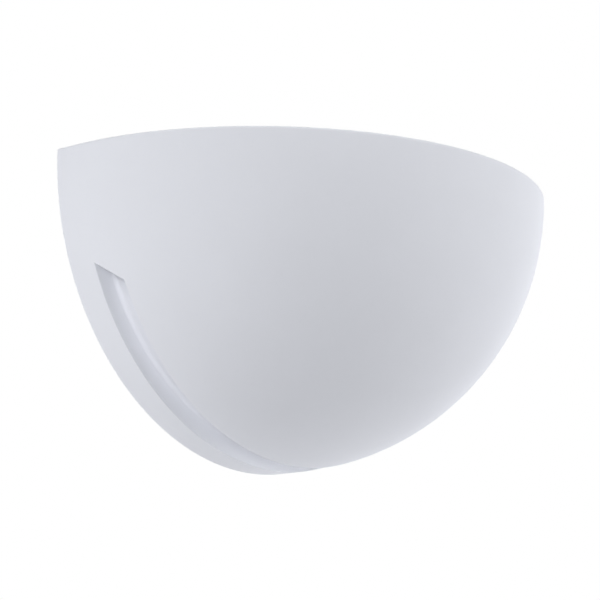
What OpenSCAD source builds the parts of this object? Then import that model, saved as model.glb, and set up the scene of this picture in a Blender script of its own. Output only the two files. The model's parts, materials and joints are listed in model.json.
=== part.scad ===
// Uplighter wall sconce: a plaster quarter sphere that hangs on a steel wall bracket,
// with a screw lampholder and a lamp lying across the open bowl.
// Millimetres, +Z up. The wall is the plane y = 0 and the sconce stands out towards -Y.
// The origin is the middle of the two wall fixing slots.

/* [Bowl] */
// Outer radius of the quarter sphere, which is half the bowl's width
bowl_r = 150; // [145:1:170]
// Thickness of the plaster
bowl_wall = 10; // [8:0.5:12]
// Depth of the straight band between the wall and the quarter sphere
band_depth = 17; // [14:0.5:22]
// Radius on the edges of the rim
rim_round = 1.5; // [0.5:0.25:3]
// Height of the rim above the wall fixings
rim_height = 52; // [48:1:56]

/* [Channel] */
// Distance from the wall to the channel
channel_offset = 17.75; // [16:0.25:20]
// Width of the channel
channel_width = 15.75; // [10:0.25:18]
// Depth of the channel, square to the bowl's surface
channel_depth = 11; // [6:0.5:12]
// Drop from the rim to the upper end of the channel, at its back edge
channel_end_drop = 61; // [50:1:75]
// Slope of the channel's end face, falling towards the front
channel_end_slope = 29; // [0:1:35]
// Slope of the channel's end face, falling towards the middle
channel_end_draft = 10; // [0:1:15]
// Plaster left behind the channel's floor
rib_wall = 8; // [6:0.5:9]
// Plaster left beside the channel, inside the bowl
rib_side = 8; // [5:0.5:9]

/* [Wall bracket] */
// Gap between an ear of the bracket and the bowl's inside, at the rim
ear_gap = 45; // [42:1:48]
// Height of the bracket
bracket_h = 52; // [48:1:54]
// Height of the two folded ears
ear_h = 44; // [36:1:46]
// Distance that the ears stand out from the wall
ear_depth = 30; // [28:1:34]
// Thickness of the bracket's steel
sheet_t = 1.5; // [1.2:0.1:2]
// Gap behind the middle of the bracket, for cable and nuts
joggle = 6.5; // [6:0.5:9]
// Width of the flat pad at each end that lies on the wall
pad_w = 29; // [27:0.5:30]
// Distance from an ear to the middle of the wall fixing slot beside it
fixing_inset = 15; // [13:0.5:17]
// Width of a wall fixing slot
fixing_slot_w = 5; // [4:0.5:5.5]
// Length of a wall fixing slot
fixing_slot_l = 12; // [8:0.5:13]

/* [Hanging] */
// Height of the hanging studs above the wall fixings
stud_z = 10; // [8:0.5:10]
// Distance from the wall to the hanging studs
stud_y = 18; // [17:0.5:19]
// Diameter of the studs' shoulders
stud_d = 9; // [8:0.25:10]
// Diameter of the thread that the thumb screws turn in
lock_thread_d = 4; // [3:0.5:4]
// Thickness of the hangers' steel
hanger_t = 2; // [1.5:0.25:2.5]
// Width of a hanger, across its slot
hanger_w = 24; // [21:0.5:25]
// Depth of a hanger's open slot below the stud's centre
hanger_drop = 8; // [6:0.5:9]
// Height of the hanger's foot above the stud's centre
foot_rise = 10; // [10:0.5:12]
// Distance that the hanger's foot reaches outwards
foot_l = 30; // [28:0.5:31]
// Diameter of a thumb screw's head
thumb_d = 14; // [12:0.5:15]
// Length of a thumb screw's head
thumb_l = 8; // [6:0.5:8.5]
// Notches round a thumb screw's head
thumb_notches = 20; // [16:1:24]
// Diameter of a cast-in insert
insert_d = 7; // [6:0.5:8]
// Length of a cast-in insert
insert_l = 10; // [8:0.5:12]
// Distance between the two screws of a hanger
hanger_screw_spacing = 15; // [14:0.5:15]
// Length of a hanger's screw under its head
hanger_screw_l = 9; // [8:0.5:10]

/* [Lampholder] */
// Distance from the wall to the lamp's axis
lamp_y = 70; // [66:1:76]
// Height of the lamp's axis above the wall fixings
lamp_z = 5; // [0:1:8]
// Distance from the bracket's left step to the arm
arm_inset = 4; // [3:0.5:6]
// Width of the arm
arm_w = 36; // [34:1:40]
// Length of the arm's foot along the bracket
arm_foot = 20; // [18:0.5:22]
// Distance between the two screws of the arm's foot
arm_screw_spacing = 20; // [18:0.5:22]
// Length of an arm screw under its head
arm_screw_l = 7.5; // [7:0.5:9]
// Outer diameter of the lampholder
holder_d = 39; // [38:0.5:42]
// Length of the lampholder's cap
cap_l = 20; // [19:0.5:21]
// Length of the lampholder's skirt
skirt_l = 32; // [30:0.5:33]
// Diameter of the threaded tube that carries the lampholder
nipple_d = 10; // [9:0.5:10]
// Bore of the threaded tube
nipple_bore = 7.4; // [7:0.1:7.6]

/* [Lamp] */
// Diameter of the lamp's globe
globe_d = 60; // [55:1:64]
// Length of the lamp over all
lamp_l = 108; // [104:1:112]
// Diameter of the lamp's screw cap
cap_d = 26.4; // [26:0.1:26.4]
// Length of the lamp's screw cap without its tip
cap_thread_l = 22; // [20:0.5:24]

/* [Wiring] */
// Diameter of the cable entry through the grommet
entry_d = 10; // [8:0.5:11]
// Diameter of the hole in the bracket that holds the grommet
entry_hole_d = 18; // [16:0.5:19]
// Gap between the arm's foot and the grommet's lip
entry_gap = 11; // [6:0.5:14]
// Width of the grommet's lip around its hole
grommet_lip = 2.5; // [2:0.25:3]
// Height of the cable entry above the wall fixings
entry_z = 8; // [6:0.5:10]
// Distance between the poles of the terminal block
pole_pitch = 11; // [10.5:0.25:11.5]
// Length of the terminal block along its wires
block_l = 16; // [15:0.5:17]
// Depth of the terminal block in front of the bracket
block_h = 14; // [13:0.5:15]
// Distance from the bracket's middle to the terminal block's middle
block_x = 36; // [35:0.5:37]
// Diameter of an insulated wire
wire_d = 2.4; // [2:0.1:2.6]

/* [Hidden] */
$fn = 96;

// Clearances
fit = 0.1;            // between two fixed pieces, on the diameter
run = 0.3;            // between pieces that move past each other, on each side
thread_gap = 0.05;    // between a screw and the thread that it turns in, on each side
over = 1;             // how far a cutting shape runs past what it cuts

// Bowl
ball_z = rim_height - rim_round;          // height of the sphere's centre
inner_r = bowl_r - bowl_wall;
channel_floor_r = bowl_r - channel_depth;
rib_r = channel_floor_r - rib_wall;
rib_back = channel_offset - rib_side;
rib_front = channel_offset + channel_width + rib_side;
rib_over = 17;                            // how far the rib runs above the channel's ends
rib_top = rim_height - channel_end_drop + rib_over;
end_x = sqrt(pow(bowl_r, 2) - pow(channel_end_drop - rim_round, 2));

// Bracket
plate_y = joggle + sheet_t;               // front face of the bracket's middle, from the wall
ear_x = inner_r - ear_gap;                // outer face of an ear
step_x = ear_x - pad_w;
fixing_x = ear_x - fixing_inset;
ear_neck = 4;                             // depth next to the wall where an ear has the full height
ear_round = 8;
fold_round = 2.5;

// Hanging
hanger_x = ear_x + run;                   // inner face of a hanger
shoulder_l = hanger_t + 2 * run;
head_gap = 0.1;                           // between a stud's end and the thumb screw's head
head_x = ear_x + shoulder_l + head_gap;   // inner face of a thumb screw's head
lock_thread_l = 9.5;                      // length of a thumb screw under its head
tail_d = 6;
rivet_d = 10;
rivet_l = 1.2;
foot_z = stud_z + foot_rise;              // underside of a hanger's foot, on the lug
lug_gap = 1.2;                            // between a thumb screw's head and the lug beside it
lug_x = head_x + thumb_l + lug_gap;       // inner face of a lug
lug_drop = 26;
lug_slope = 13;                           // how far a lug's lower edge runs outwards
lug_back = 4;
lug_front = rib_front + 3;
insert_inset = 11;                        // from the end of a hanger's foot to its screws
insert_x = hanger_x + foot_l - insert_inset;
insert_floor = 1;                         // bottom of an insert's threaded hole
screw_hole = 0.4;                         // how much wider than its screw a clearance hole is
hanger_back = stud_y - hanger_w / 2;

// Screws: shank, head diameter, head height
m4 = [4, 8, 2.4];
m3 = [3, 5.5, 1.8];
m25 = [2.5, 4.5, 1.6];
m4_nut_w = 7;
m4_nut_h = 3;

// Lampholder, measured along the lamp's axis from the arm's right face
arm_x = step_x - arm_inset;               // left face of the arm, to the left of the middle
seat_x = sheet_t - arm_x;                 // right face of the arm
cap_back = 4;
cap_round = 4;
skirt_round = 2;
nipple_in = 5;                            // how far the nipple reaches into the cap
nipple_out = 5;
nut_w = 14;
nut_h = 3;
block_u = 12;                             // back face of the contact block
contact_l = 12;
front_u = block_u + contact_l;            // front face of the contact block
spigot_l = 6;
spigot_wall = 1.4;
holder_step = 1.5;                        // wall of the skirt around the spigot
spigot_r = holder_d / 2 - holder_step;
bore_r = spigot_r - spigot_wall;
block_seat = 2;                           // width of the ledge that the contact block rests on
block_seat_r = bore_r - block_seat;
shell_t = 0.4;
shell_r = cap_d / 2 + run;                // inside of the screw shell
shell_l = 25;
skirt_u = cap_l + fit;
skirt_end = skirt_u + skirt_l;
mouth_gap = 1;                            // between the screw shell and the skirt's bore
mouth_r = shell_r + shell_t + mouth_gap;
shell_floor_r = 8;                        // hole in the bottom of the screw shell
contact_top = 4;
contact_d = 9;
contact_t = 0.6;
contact_w = 6;
terminal_hole_d = 3.2;
terminal_offset = 5;
terminal_depth = 5;
clamp_gap = 0.85;                         // between a clamp screw's head and the cap
clamp_offset = block_seat_r - m3[1] / 2 - clamp_gap;
clamp_screw_l = 5.5;

// Lamp
tip_u = front_u + contact_top + run;
tip_l = 4;                                // tip and insulator together
tip_r = 4.5;
insulator_r = 9.5;
insulator_in = 1;                         // how far the insulator reaches into the screw cap
cap_u = tip_u + tip_l;
cap_end = cap_u + cap_thread_l;
thread_pitch = 3.6;
thread_depth = 1;
globe_u = tip_u + lamp_l - globe_d / 2;   // centre of the globe
lip_u = globe_u - globe_d / 4;            // where the globe meets the lamp's body
lip_r = sqrt(pow(globe_d / 2, 2) - pow(globe_d / 4, 2));
globe_t = 1.5;
cap_wall = 1.5;
cap_root_r = cap_d / 2 - thread_depth;
neck_r = cap_root_r - cap_wall - fit;
neck_l = 6;                               // how far the body reaches into the screw cap
board_inset = 3;
board_r = lip_r - board_inset;
board_t = 1.2;
chip = 3;
chip_ring = 0.62;                         // the chips' circle, as a share of the board's radius

// Wiring
block_w = 3 * pole_pitch + 1;
block_foot = 2.5;                         // thickness of the block's base
block_bridge = 6;                         // height of the web between its poles
block_rebate = 4;                         // where the fixing screws' heads seat, from the plate
tower_w = 0.76 * pole_pitch;              // width of a pole's housing
sleeve_d = 5.4;
sleeve_bore = 3.6;
sleeve_y = plate_y + block_rebate + 1.5;  // axis of the sleeves
clamp_z = 4;
block_screw_l = 8;
earth_x = 0;
earth_z = -13;
earth_screw_l = 7.5;
tag_t = 0.8;
washer_t = 0.8;
washer_d = 8;
washer_notch = 0.8;
ring_d = 9;
tag_w = 3.4;
barrel_l = 7;
barrel_wall = 0.6;
barrel_x = earth_x + ring_d / 2 + 0.5;
barrel_y = plate_y + washer_t + tag_t + 1;
grommet_front = 2;                        // thickness of the lip in front of the bracket
grommet_y = plate_y + grommet_front;      // front face of the grommet
grommet_l = 2 * grommet_front + sheet_t;
grommet_r = entry_hole_d / 2 + grommet_lip;
entry_x = arm_x - sheet_t - arm_foot - entry_gap - grommet_r;

// Routes of the three wires. Each starts in its pole of the terminal block, and the two supply
// wires run along the bracket, round the arm and through the nipple into the contact block.
run_y = plate_y + 4;                      // the wires' distance from the wall along the bracket
function pole(k, p) = [block_x + k * pole_pitch + p[0], p[1] - sleeve_y, p[2]];
function by_arm(p) = [p[0] - arm_x, p[1] - plate_y, p[2]];
function by_lamp(p) = [p[0] - arm_x, p[1] - lamp_y, p[2] + lamp_z];
function across(from, z) = [
  for (i = [1 : 4]) [from + (4 - arm_x - from) * i / 5, -run_y, z]
];
earth_route = concat(
  [for (p = [[0, 0, -3], [0, 0, -8], [-0.6, 0.3, -10.6], [-3, 1.3, -12.6]]) pole(-1, p)],
  [for (x = [7.5, 3, -1]) [barrel_x + 6 + x, -barrel_y - max(x - 5, 0) * 0.24, earth_z]]
);
neutral_route = concat(
  [for (p = [[0, 0, -3], [0, 0, -9], [-0.6, 0.2, -14], [-3, 0.7, -17.6], [-8, 1.2, -19]])
    pole(0, p)],
  across(block_x - 8, -19),
  [for (p = [[4, -5.2, -19], [-2, -8, -18.6], [-5, -14, -17.6], [-6, -24, -14]]) by_arm(p)],
  [for (p = [
    [-7, 26, -12], [-10, 14, -6], [-13, 8, -3.4], [-14, 3, -2], [-11.5, 0, -1.6],
    [-7, -0.2, -1.6], [-1, 0, -1.6], [5, 0, -1.6], [7.2, 0.6, -1.4], [9.2, 2.5, -0.8],
    [10.8, 4.3, -0.2], [12.6, 5, 0], [18.5, 5, 0]
  ]) by_lamp(p)]
);
live_route = concat(
  [for (p = [[0, 0, -3], [0, 0, -10], [-0.6, 0.1, -16], [-3, 0.5, -20.4], [-9, 1.1, -22.4]])
    pole(1, p)],
  across(block_x + pole_pitch - 9, -22.6),
  [for (p = [[4, -5.6, -22.4], [-4, -9.4, -21.6], [-8.6, -16, -20], [-10.6, -26, -15]])
    by_arm(p)],
  [for (p = [
    [-13, 24, -12], [-16, 14, -5], [-18, 6, -0.4], [-17.5, 0.8, 1.4], [-13, -0.6, 1.8],
    [-7, -0.2, 1.6], [-1, 0, 1.6], [5, 0, 1.6], [7.2, -0.6, 1.4], [9.2, -2.5, 0.8],
    [10.8, -4.3, 0.2], [12.6, -5, 0], [18.5, -5, 0]
  ]) by_lamp(p)]
);

// Catmull-Rom point between b and c
function spline(a, b, c, d, t) =
  0.5 * (2 * b + (c - a) * t + (2 * a - 5 * b + 4 * c - d) * t * t
         + (3 * b - a - 3 * c + d) * t * t * t);

// A smooth run of points through a route, with extra steps between its own points
function smooth(p, steps) =
  let (n = len(p) - 1)
  [
    for (i = [0 : n - 1])
      for (s = [0 : steps - 1])
        spline(p[max(i - 1, 0)], p[i], p[i + 1], p[min(i + 2, n)], s / steps),
    p[n]
  ];

function unit(v) = v / norm(v);

// Direction of a run of points at its point i
function along(q, i) = unit(q[min(i + 1, len(q) - 1)] - q[max(i - 1, 0)]);

// Sideways vector, carried along the run so that the tube doesn't twist
function carry(q, i) =
  i == 0
    ? unit(cross(along(q, 0), abs(along(q, 0)[1]) > 0.9 ? [1, 0, 0] : [0, 1, 0]))
    : let (before = carry(q, i - 1), t = along(q, i))
      unit(before - (before * t) * t);

// Shared shapes ---------------------------------------------------------------------------

// A round tube along a route
module wire(route, steps, d) {
  q = smooth(route, steps);
  sides = 8;
  rings = [
    for (i = [0 : len(q) - 1])
      let (t = along(q, i), u = carry(q, i), v = cross(t, u))
      for (k = [0 : sides - 1])
        q[i] + d / 2 * (u * cos(k * 360 / sides) + v * sin(k * 360 / sides))
  ];
  last = (len(q) - 1) * sides;
  faces = concat(
    [[for (k = [0 : sides - 1]) k]],
    [
      for (i = [0 : len(q) - 2])
        for (k = [0 : sides - 1])
          let (a = i * sides + k, b = i * sides + (k + 1) % sides)
          for (f = [[a, a + sides, b + sides], [a, b + sides, b]]) f
    ],
    [[for (k = [sides - 1 : -1 : 0]) last + k]]
  );
  polyhedron(rings, faces);
}

// What a fillet takes away from a corner whose sides run along +X and +Y
module corner_cut(r) {
  difference() {
    translate([-over, -over]) square(r + over);
    translate([r, r]) circle(r);
  }
}

// A rectangle about the origin with four round corners
module rounded_rectangle(w, h, r) {
  difference() {
    square([w, h], center = true);
    for (a = [0, 1])
      for (b = [0, 1])
        mirror([a, 0]) mirror([0, b]) translate([-w / 2, -h / 2]) corner_cut(r);
  }
}

// A cylinder from y = -a out to y = -b, about the line x, z
module cylinder_y(x, z, a, b, r) {
  translate([x, -a, z]) rotate([90, 0, 0]) cylinder(r = r, h = b - a);
}

// A cylinder from x = a to x = b, about the lamp's axis
module cylinder_u(a, b, r) {
  translate([a, -lamp_y, lamp_z]) rotate([0, 90, 0]) cylinder(r = r, h = b - a);
}

// Turns a profile of radius and distance about the lamp's axis
module turned() {
  translate([seat_x, -lamp_y, lamp_z]) rotate([0, 90, 0]) rotate_extrude() children();
}

// A ring of the profile, from one distance to the next
module ring_profile(r1, r2, u1, u2) {
  translate([r1, u1]) square([r2 - r1, u2 - u1]);
}

// Pan head screw: its head stands on z = 0 and its shank points down
module pan_screw(size, length) {
  difference() {
    union() {
      translate([0, 0, -length]) cylinder(d = size[0] - fit, h = length + over / 2);
      rotate_extrude() difference() {
        square([size[1] / 2, size[2]]);
        translate([size[1] / 2, size[2]]) rotate(180) corner_cut(size[2] * 0.6);
      }
    }
    for (a = [0, 90])
      rotate(a) translate([-size[0] / 2, -size[0] / 10, size[2] * 0.45])
        cube([size[0], size[0] / 5, size[2]]);
  }
}

// Hexagon nut from z = 0 up to h, with its bore
module hex_nut(across, h, bore) {
  difference() {
    cylinder(d = across / cos(30), h = h, $fn = 6);
    translate([0, 0, -over]) cylinder(d = bore, h = h + 2 * over);
  }
}

// Bowl ------------------------------------------------------------------------------------

// Cross-section of the plaster: a half ring with a rounded rim, about the sphere's centre
module bowl_section() {
  difference() {
    intersection() {
      circle(bowl_r, $fn = 180);
      translate([-bowl_r - over, -bowl_r - over]) square([2 * (bowl_r + over), bowl_r + over]);
    }
    circle(inner_r, $fn = 180);
  }
  for (side = [0, 1])
    mirror([side, 0]) {
      translate([inner_r + rim_round, 0]) square([bowl_wall - 2 * rim_round, rim_round]);
      translate([inner_r + rim_round, 0]) circle(rim_round);
      translate([bowl_r - rim_round, 0]) circle(rim_round);
    }
}

// Ring about the line through the sphere's centre that runs out from the wall
module wall_ring(r1, r2, y1, y2) {
  translate([0, -y1, ball_z]) rotate([90, 0, 0]) difference() {
    cylinder(r = r2, h = y2 - y1, $fn = 180);
    translate([0, 0, -over]) cylinder(r = r1, h = y2 - y1 + 2 * over, $fn = 180);
  }
}

// The channel that is cut into the bowl's outside, with its two slanted ends
module channel() {
  difference() {
    wall_ring(channel_floor_r, bowl_r + over, channel_offset, channel_offset + channel_width);
    for (side = [0, 1])
      mirror([side, 0, 0])
        translate([-end_x, -channel_offset, rim_height - channel_end_drop])
          rotate([channel_end_slope, channel_end_draft, 0])
            translate([-end_x / 2, -end_x / 2, 0]) cube([0.9 * end_x, end_x, 2 * bowl_r]);
  }
}

// The rib inside the bowl that backs the channel
module rib() {
  intersection() {
    wall_ring(rib_r, bowl_r - bowl_wall / 2, rib_back, rib_front);
    translate([-bowl_r, -bowl_r, rib_top - 2 * bowl_r]) cube(2 * bowl_r);
  }
}

// One lug inside the bowl, on the right, that a hanger's foot stands on
module lug() {
  intersection() {
    translate([0, -lug_back, 0]) rotate([90, 0, 0]) linear_extrude(lug_front - lug_back)
      polygon([
        [lug_x, foot_z], [bowl_r, foot_z], [bowl_r, foot_z - 2 * lug_drop],
        [lug_x + lug_slope, foot_z - 1.7 * lug_drop], [lug_x, foot_z - lug_drop]
      ]);
    wall_ring(lug_x / 2, bowl_r - bowl_wall / 2, lug_back, lug_front);
  }
}

module at_inserts() {
  for (side = [-1, 1])
    for (k = [-1, 1])
      translate([side * insert_x, -stud_y + k * hanger_screw_spacing / 2, foot_z]) children();
}

module bowl_shell() {
  color([0.93, 0.93, 0.92]) difference() {
    union() {
      translate([0, -band_depth, ball_z]) rotate([0, 0, 180]) rotate_extrude(angle = 180, $fn = 180)
        intersection() {
          bowl_section();
          translate([0, -2 * bowl_r]) square(4 * bowl_r);
        }
      translate([0, 0, ball_z]) rotate([90, 0, 0]) linear_extrude(band_depth) bowl_section();
      rib();
      lug();
      mirror([1, 0, 0]) lug();
    }
    channel();
    at_inserts() translate([0, 0, -insert_l]) cylinder(d = insert_d, h = insert_l + over);
  }
}

module hanger_inserts() {
  color([0.80, 0.66, 0.36]) at_inserts() difference() {
    translate([0, 0, -insert_l]) cylinder(d = insert_d - fit, h = insert_l);
    translate([0, 0, insert_floor - insert_l]) cylinder(d = m4[0], h = insert_l + over);
  }
}

// Right hanger: a steel angle with an open slot that drops over the stud
module hanger() {
  color([0.75, 0.76, 0.78]) difference() {
    translate([0, -hanger_back, 0]) rotate([90, 0, 0]) linear_extrude(hanger_w) difference() {
      union() {
        translate([hanger_x, stud_z - hanger_drop])
          square([hanger_t, foot_rise + hanger_drop + hanger_t]);
        translate([hanger_x, foot_z]) square([foot_l, hanger_t]);
      }
      translate([hanger_x, foot_z + hanger_t]) mirror([0, 1]) corner_cut(fold_round);
    }
    translate([ear_x, -stud_y, stud_z]) rotate([0, 90, 0])
      cylinder(d = stud_d + 2 * run, h = 2 * shoulder_l);
    translate([ear_x, -stud_y - stud_d / 2 - run, stud_z - hanger_drop - over])
      cube([2 * shoulder_l, stud_d + 2 * run, hanger_drop + over]);
    at_inserts() translate([0, 0, -over])
      cylinder(d = m4[0] + screw_hole, h = hanger_t + 2 * over);
  }
}

module right_hanger() {
  hanger();
}

module left_hanger() {
  mirror([1, 0, 0]) hanger();
}

module hanger_screws() {
  color([0.72, 0.73, 0.75]) at_inserts() translate([0, 0, hanger_t])
    pan_screw(m4, hanger_screw_l);
}

// Wall bracket ----------------------------------------------------------------------------

// Outline of the right half of the strap, seen from above
module strap_half() {
  difference() {
    union() {
      translate([0, -plate_y]) square([step_x, sheet_t]);
      translate([step_x - sheet_t, -plate_y]) square([sheet_t, plate_y]);
      translate([step_x - sheet_t, -sheet_t]) square([pad_w + sheet_t, sheet_t]);
      translate([ear_x - sheet_t, -ear_depth]) square([sheet_t, ear_depth]);
    }
    translate([ear_x, 0]) rotate(180) corner_cut(fold_round);
    translate([step_x - sheet_t, 0]) mirror([0, 1]) corner_cut(sheet_t);
    translate([step_x, -plate_y]) mirror([1, 0]) corner_cut(sheet_t);
  }
}

// What is taken off an ear above and below, seen from the side
module ear_trim() {
  difference() {
    translate([-2 * ear_depth, -bracket_h]) square([2 * ear_depth - ear_neck, 2 * bracket_h]);
    translate([-ear_depth / 2, 0]) rounded_rectangle(ear_depth, ear_h, ear_round);
    translate([-ear_depth / 2, -ear_h / 2]) square([ear_depth, ear_h]);
  }
}

module fixing_slot() {
  slot_r = fixing_slot_w / 2;
  reach = fixing_slot_l / 2 - slot_r;
  for (x = [-reach, reach]) cylinder_y(x, 0, -over, sheet_t + over, slot_r);
  translate([-reach, -sheet_t - over, -slot_r])
    cube([2 * reach, sheet_t + 2 * over, fixing_slot_w]);
}

module at_arm_screws() {
  for (k = [-1, 1])
    translate([arm_foot / 2 + seat_x, 0, lamp_z + k * arm_screw_spacing / 2]) children();
}

module at_block_screws() {
  for (k = [-1, 1]) translate([block_x + k * pole_pitch / 2, 0, 0]) children();
}

module wall_bracket() {
  color([0.86, 0.87, 0.88]) difference() {
    translate([0, 0, -bracket_h / 2]) linear_extrude(bracket_h) {
      strap_half();
      mirror([1, 0]) strap_half();
    }
    for (side = [-1, 1]) {
      translate([side * fixing_x, 0, 0]) fixing_slot();
      translate([side * (ear_x - sheet_t / 2) - sheet_t, 0, 0])
        rotate([90, 0, 90]) linear_extrude(2 * sheet_t) ear_trim();
      translate([side * (ear_x - sheet_t / 2) - sheet_t, -stud_y, stud_z])
        rotate([0, 90, 0]) cylinder(d = tail_d + fit, h = 2 * sheet_t);
    }
    cylinder_y(-entry_x, entry_z, joggle - over, plate_y + over, entry_hole_d / 2);
    cylinder_y(earth_x, earth_z, joggle - over, plate_y + over, m4[0] / 2);
    at_arm_screws() cylinder_y(0, 0, joggle - over, plate_y + over, m4[0] / 2);
    at_block_screws() cylinder_y(0, 0, joggle - over, plate_y + over, m25[0] / 2);
  }
}

// Both studs, riveted into the ears
module hanging_studs() {
  color([0.72, 0.73, 0.75]) for (side = [0, 1])
    mirror([side, 0, 0]) translate([ear_x, -stud_y, stud_z]) rotate([0, 90, 0])
      rotate_extrude() difference() {
        union() {
          translate([0, -sheet_t]) square([tail_d / 2, sheet_t + over]);
          square([stud_d / 2, shoulder_l]);
          translate([0, -sheet_t - rivet_l]) square([rivet_d / 2, rivet_l]);
        }
        translate([0, -lock_thread_l]) square([lock_thread_d / 2, 2 * lock_thread_l]);
        translate([rivet_d / 2, -sheet_t - rivet_l]) mirror([1, 0]) corner_cut(rivet_l * 0.7);
      }
}

// Right thumb screw, with a notched head
module thumb_screw() {
  notch_r = 0.8;
  collar = 2;
  slot_w = 1.2;
  slot_depth = 1.5;
  color([0.78, 0.79, 0.81]) translate([0, -stud_y, stud_z]) rotate([0, 90, 0]) {
    translate([0, 0, head_x - lock_thread_l])
      cylinder(r = lock_thread_d / 2 - thread_gap, h = lock_thread_l + over / 2);
    translate([0, 0, head_x]) difference() {
      rotate_extrude() difference() {
        square([thumb_d / 2, thumb_l]);
        translate([thumb_d / 2, thumb_l]) rotate(180) corner_cut(slot_w);
      }
      for (k = [0 : thumb_notches - 1])
        rotate(k * 360 / thumb_notches) translate([thumb_d / 2 + notch_r / 3, 0, collar])
          cylinder(r = notch_r, h = thumb_l, $fn = 16);
      translate([-thumb_d / 2, -slot_w / 2, thumb_l - slot_depth])
        cube([thumb_d, slot_w, slot_depth + over]);
    }
  }
}

module right_thumb_screw() {
  thumb_screw();
}

module left_thumb_screw() {
  mirror([1, 0, 0]) thumb_screw();
}

// Lampholder ------------------------------------------------------------------------------

// Steel angle: its foot lies on the bracket and its leg carries the lampholder
module lampholder_arm() {
  color([0.86, 0.87, 0.88]) difference() {
    union() {
      translate([-arm_x, -plate_y - sheet_t, lamp_z - arm_w / 2])
        cube([sheet_t + arm_foot, sheet_t, arm_w]);
      translate([-arm_x, -lamp_y, lamp_z - arm_w / 2])
        cube([sheet_t, lamp_y - plate_y, arm_w]);
      cylinder_u(-arm_x, seat_x, arm_w / 2);
    }
    cylinder_u(-arm_x - over, seat_x + over, nipple_d / 2 + fit / 2);
    at_arm_screws()
      cylinder_y(0, 0, plate_y - over, plate_y + sheet_t + over, (m4[0] + screw_hole) / 2);
  }
}

module arm_screws() {
  color([0.72, 0.73, 0.75]) at_arm_screws()
    translate([0, -plate_y - sheet_t, 0]) rotate([90, 0, 0])
      pan_screw(m4, arm_screw_l);
}

module arm_nuts() {
  color([0.72, 0.73, 0.75]) at_arm_screws()
    translate([0, -joggle, 0]) rotate([-90, 0, 0]) hex_nut(m4_nut_w, m4_nut_h, m4[0]);
}

module nipple() {
  color([0.80, 0.66, 0.36]) turned()
    ring_profile(nipple_bore / 2, nipple_d / 2, -sheet_t - nipple_out, nipple_in);
}

module nipple_nut() {
  color([0.72, 0.73, 0.75]) translate([-arm_x - nut_h, -lamp_y, lamp_z]) rotate([0, 90, 0])
    hex_nut(nut_w, nut_h, nipple_d + fit);
}

module holder_cap() {
  color([0.96, 0.95, 0.92]) turned() difference() {
    union() {
      ring_profile(nipple_d / 2 + fit / 2, holder_d / 2, 0, cap_l);
      ring_profile(bore_r, spigot_r, cap_l, cap_l + spigot_l);
    }
    ring_profile(0, block_seat_r, cap_back, block_u + over);
    ring_profile(0, bore_r, block_u, cap_l + spigot_l + over);
    translate([holder_d / 2, 0]) mirror([1, 0]) corner_cut(cap_round);
  }
}

module contact_block() {
  color([0.97, 0.96, 0.93]) difference() {
    turned() ring_profile(0, bore_r - fit / 2, block_u, front_u);
    for (k = [-1, 1]) {
      translate([0, k * terminal_offset, 0])
        cylinder_u(seat_x, seat_x + block_u + terminal_depth, terminal_hole_d / 2);
      translate([0, 0, k * clamp_offset])
        cylinder_u(seat_x, seat_x + block_u + clamp_screw_l + run, m3[0] / 2);
    }
  }
}

module holder_terminal_screws() {
  color([0.80, 0.66, 0.36]) for (k = [-1, 1])
    translate([seat_x + block_u, -lamp_y, lamp_z + k * clamp_offset]) rotate([0, -90, 0])
      pan_screw(m3, clamp_screw_l);
}

module screw_shell() {
  color([0.82, 0.80, 0.72]) turned() {
    ring_profile(shell_r, shell_r + shell_t, front_u, front_u + shell_l);
    ring_profile(shell_floor_r, shell_r + shell_t, front_u, front_u + shell_t);
  }
}

// Brass spring in the bottom of the shell, which the lamp's tip presses on
module centre_contact() {
  foot = contact_d / 2 - 0.2;
  crown = contact_w / 4;
  color([0.80, 0.66, 0.36]) translate([seat_x + front_u, -lamp_y, lamp_z]) {
    rotate([0, 90, 0]) cylinder(d = contact_d, h = contact_t);
    rotate([90, 0, 0]) translate([0, 0, -contact_w / 2]) linear_extrude(contact_w) polygon([
      [0, -foot], [contact_t, -foot], [contact_top, -crown], [contact_top, crown],
      [contact_t * 1.5, foot - 0.3], [contact_t * 0.8, foot - 0.7],
      [contact_top - contact_t, crown - 0.3], [contact_top - contact_t, 0.3 - crown],
      [0, 0.7 - foot]
    ]);
  }
}

module holder_skirt() {
  color([0.96, 0.95, 0.92]) turned() difference() {
    ring_profile(mouth_r, holder_d / 2, skirt_u, skirt_end);
    ring_profile(0, spigot_r + fit / 2, skirt_u - over, skirt_u + spigot_l);
    translate([holder_d / 2, skirt_end]) rotate(180) corner_cut(skirt_round);
  }
}

// Lamp ------------------------------------------------------------------------------------

module lamp_tip() {
  color([0.82, 0.80, 0.72]) turned() {
    ring_profile(0, tip_r, tip_u + tip_l / 5, tip_u + tip_l / 2);
    ring_profile(0, tip_r - 1, tip_u, tip_u + tip_l / 4);
  }
}

module lamp_insulator() {
  color([0.12, 0.12, 0.13]) turned()
    polygon([
      [0, tip_u + tip_l / 2], [tip_r + 0.5, tip_u + tip_l / 2], [insulator_r, cap_u],
      [insulator_r, cap_u + insulator_in], [0, cap_u + insulator_in]
    ]);
}

// Screw cap with rounded turns
module lamp_screw_cap() {
  rim_l = 3;
  first = 0.7;
  turns = floor((cap_thread_l - rim_l) / thread_pitch - first);
  color([0.78, 0.79, 0.81]) turned() difference() {
    union() {
      ring_profile(0, cap_root_r, cap_u, cap_end);
      ring_profile(0, cap_d / 2, cap_end - rim_l, cap_end);
      for (k = [0 : turns - 1])
        translate([cap_root_r - thread_depth * 0.6, cap_u + (k + first) * thread_pitch])
          circle(thread_depth * 1.6, $fn = 32);
    }
    ring_profile(0, cap_root_r - cap_wall, cap_u + insulator_in, cap_end + over);
    ring_profile(0, insulator_r + fit, cap_u - over, cap_u + insulator_in + over);
  }
}

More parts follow.
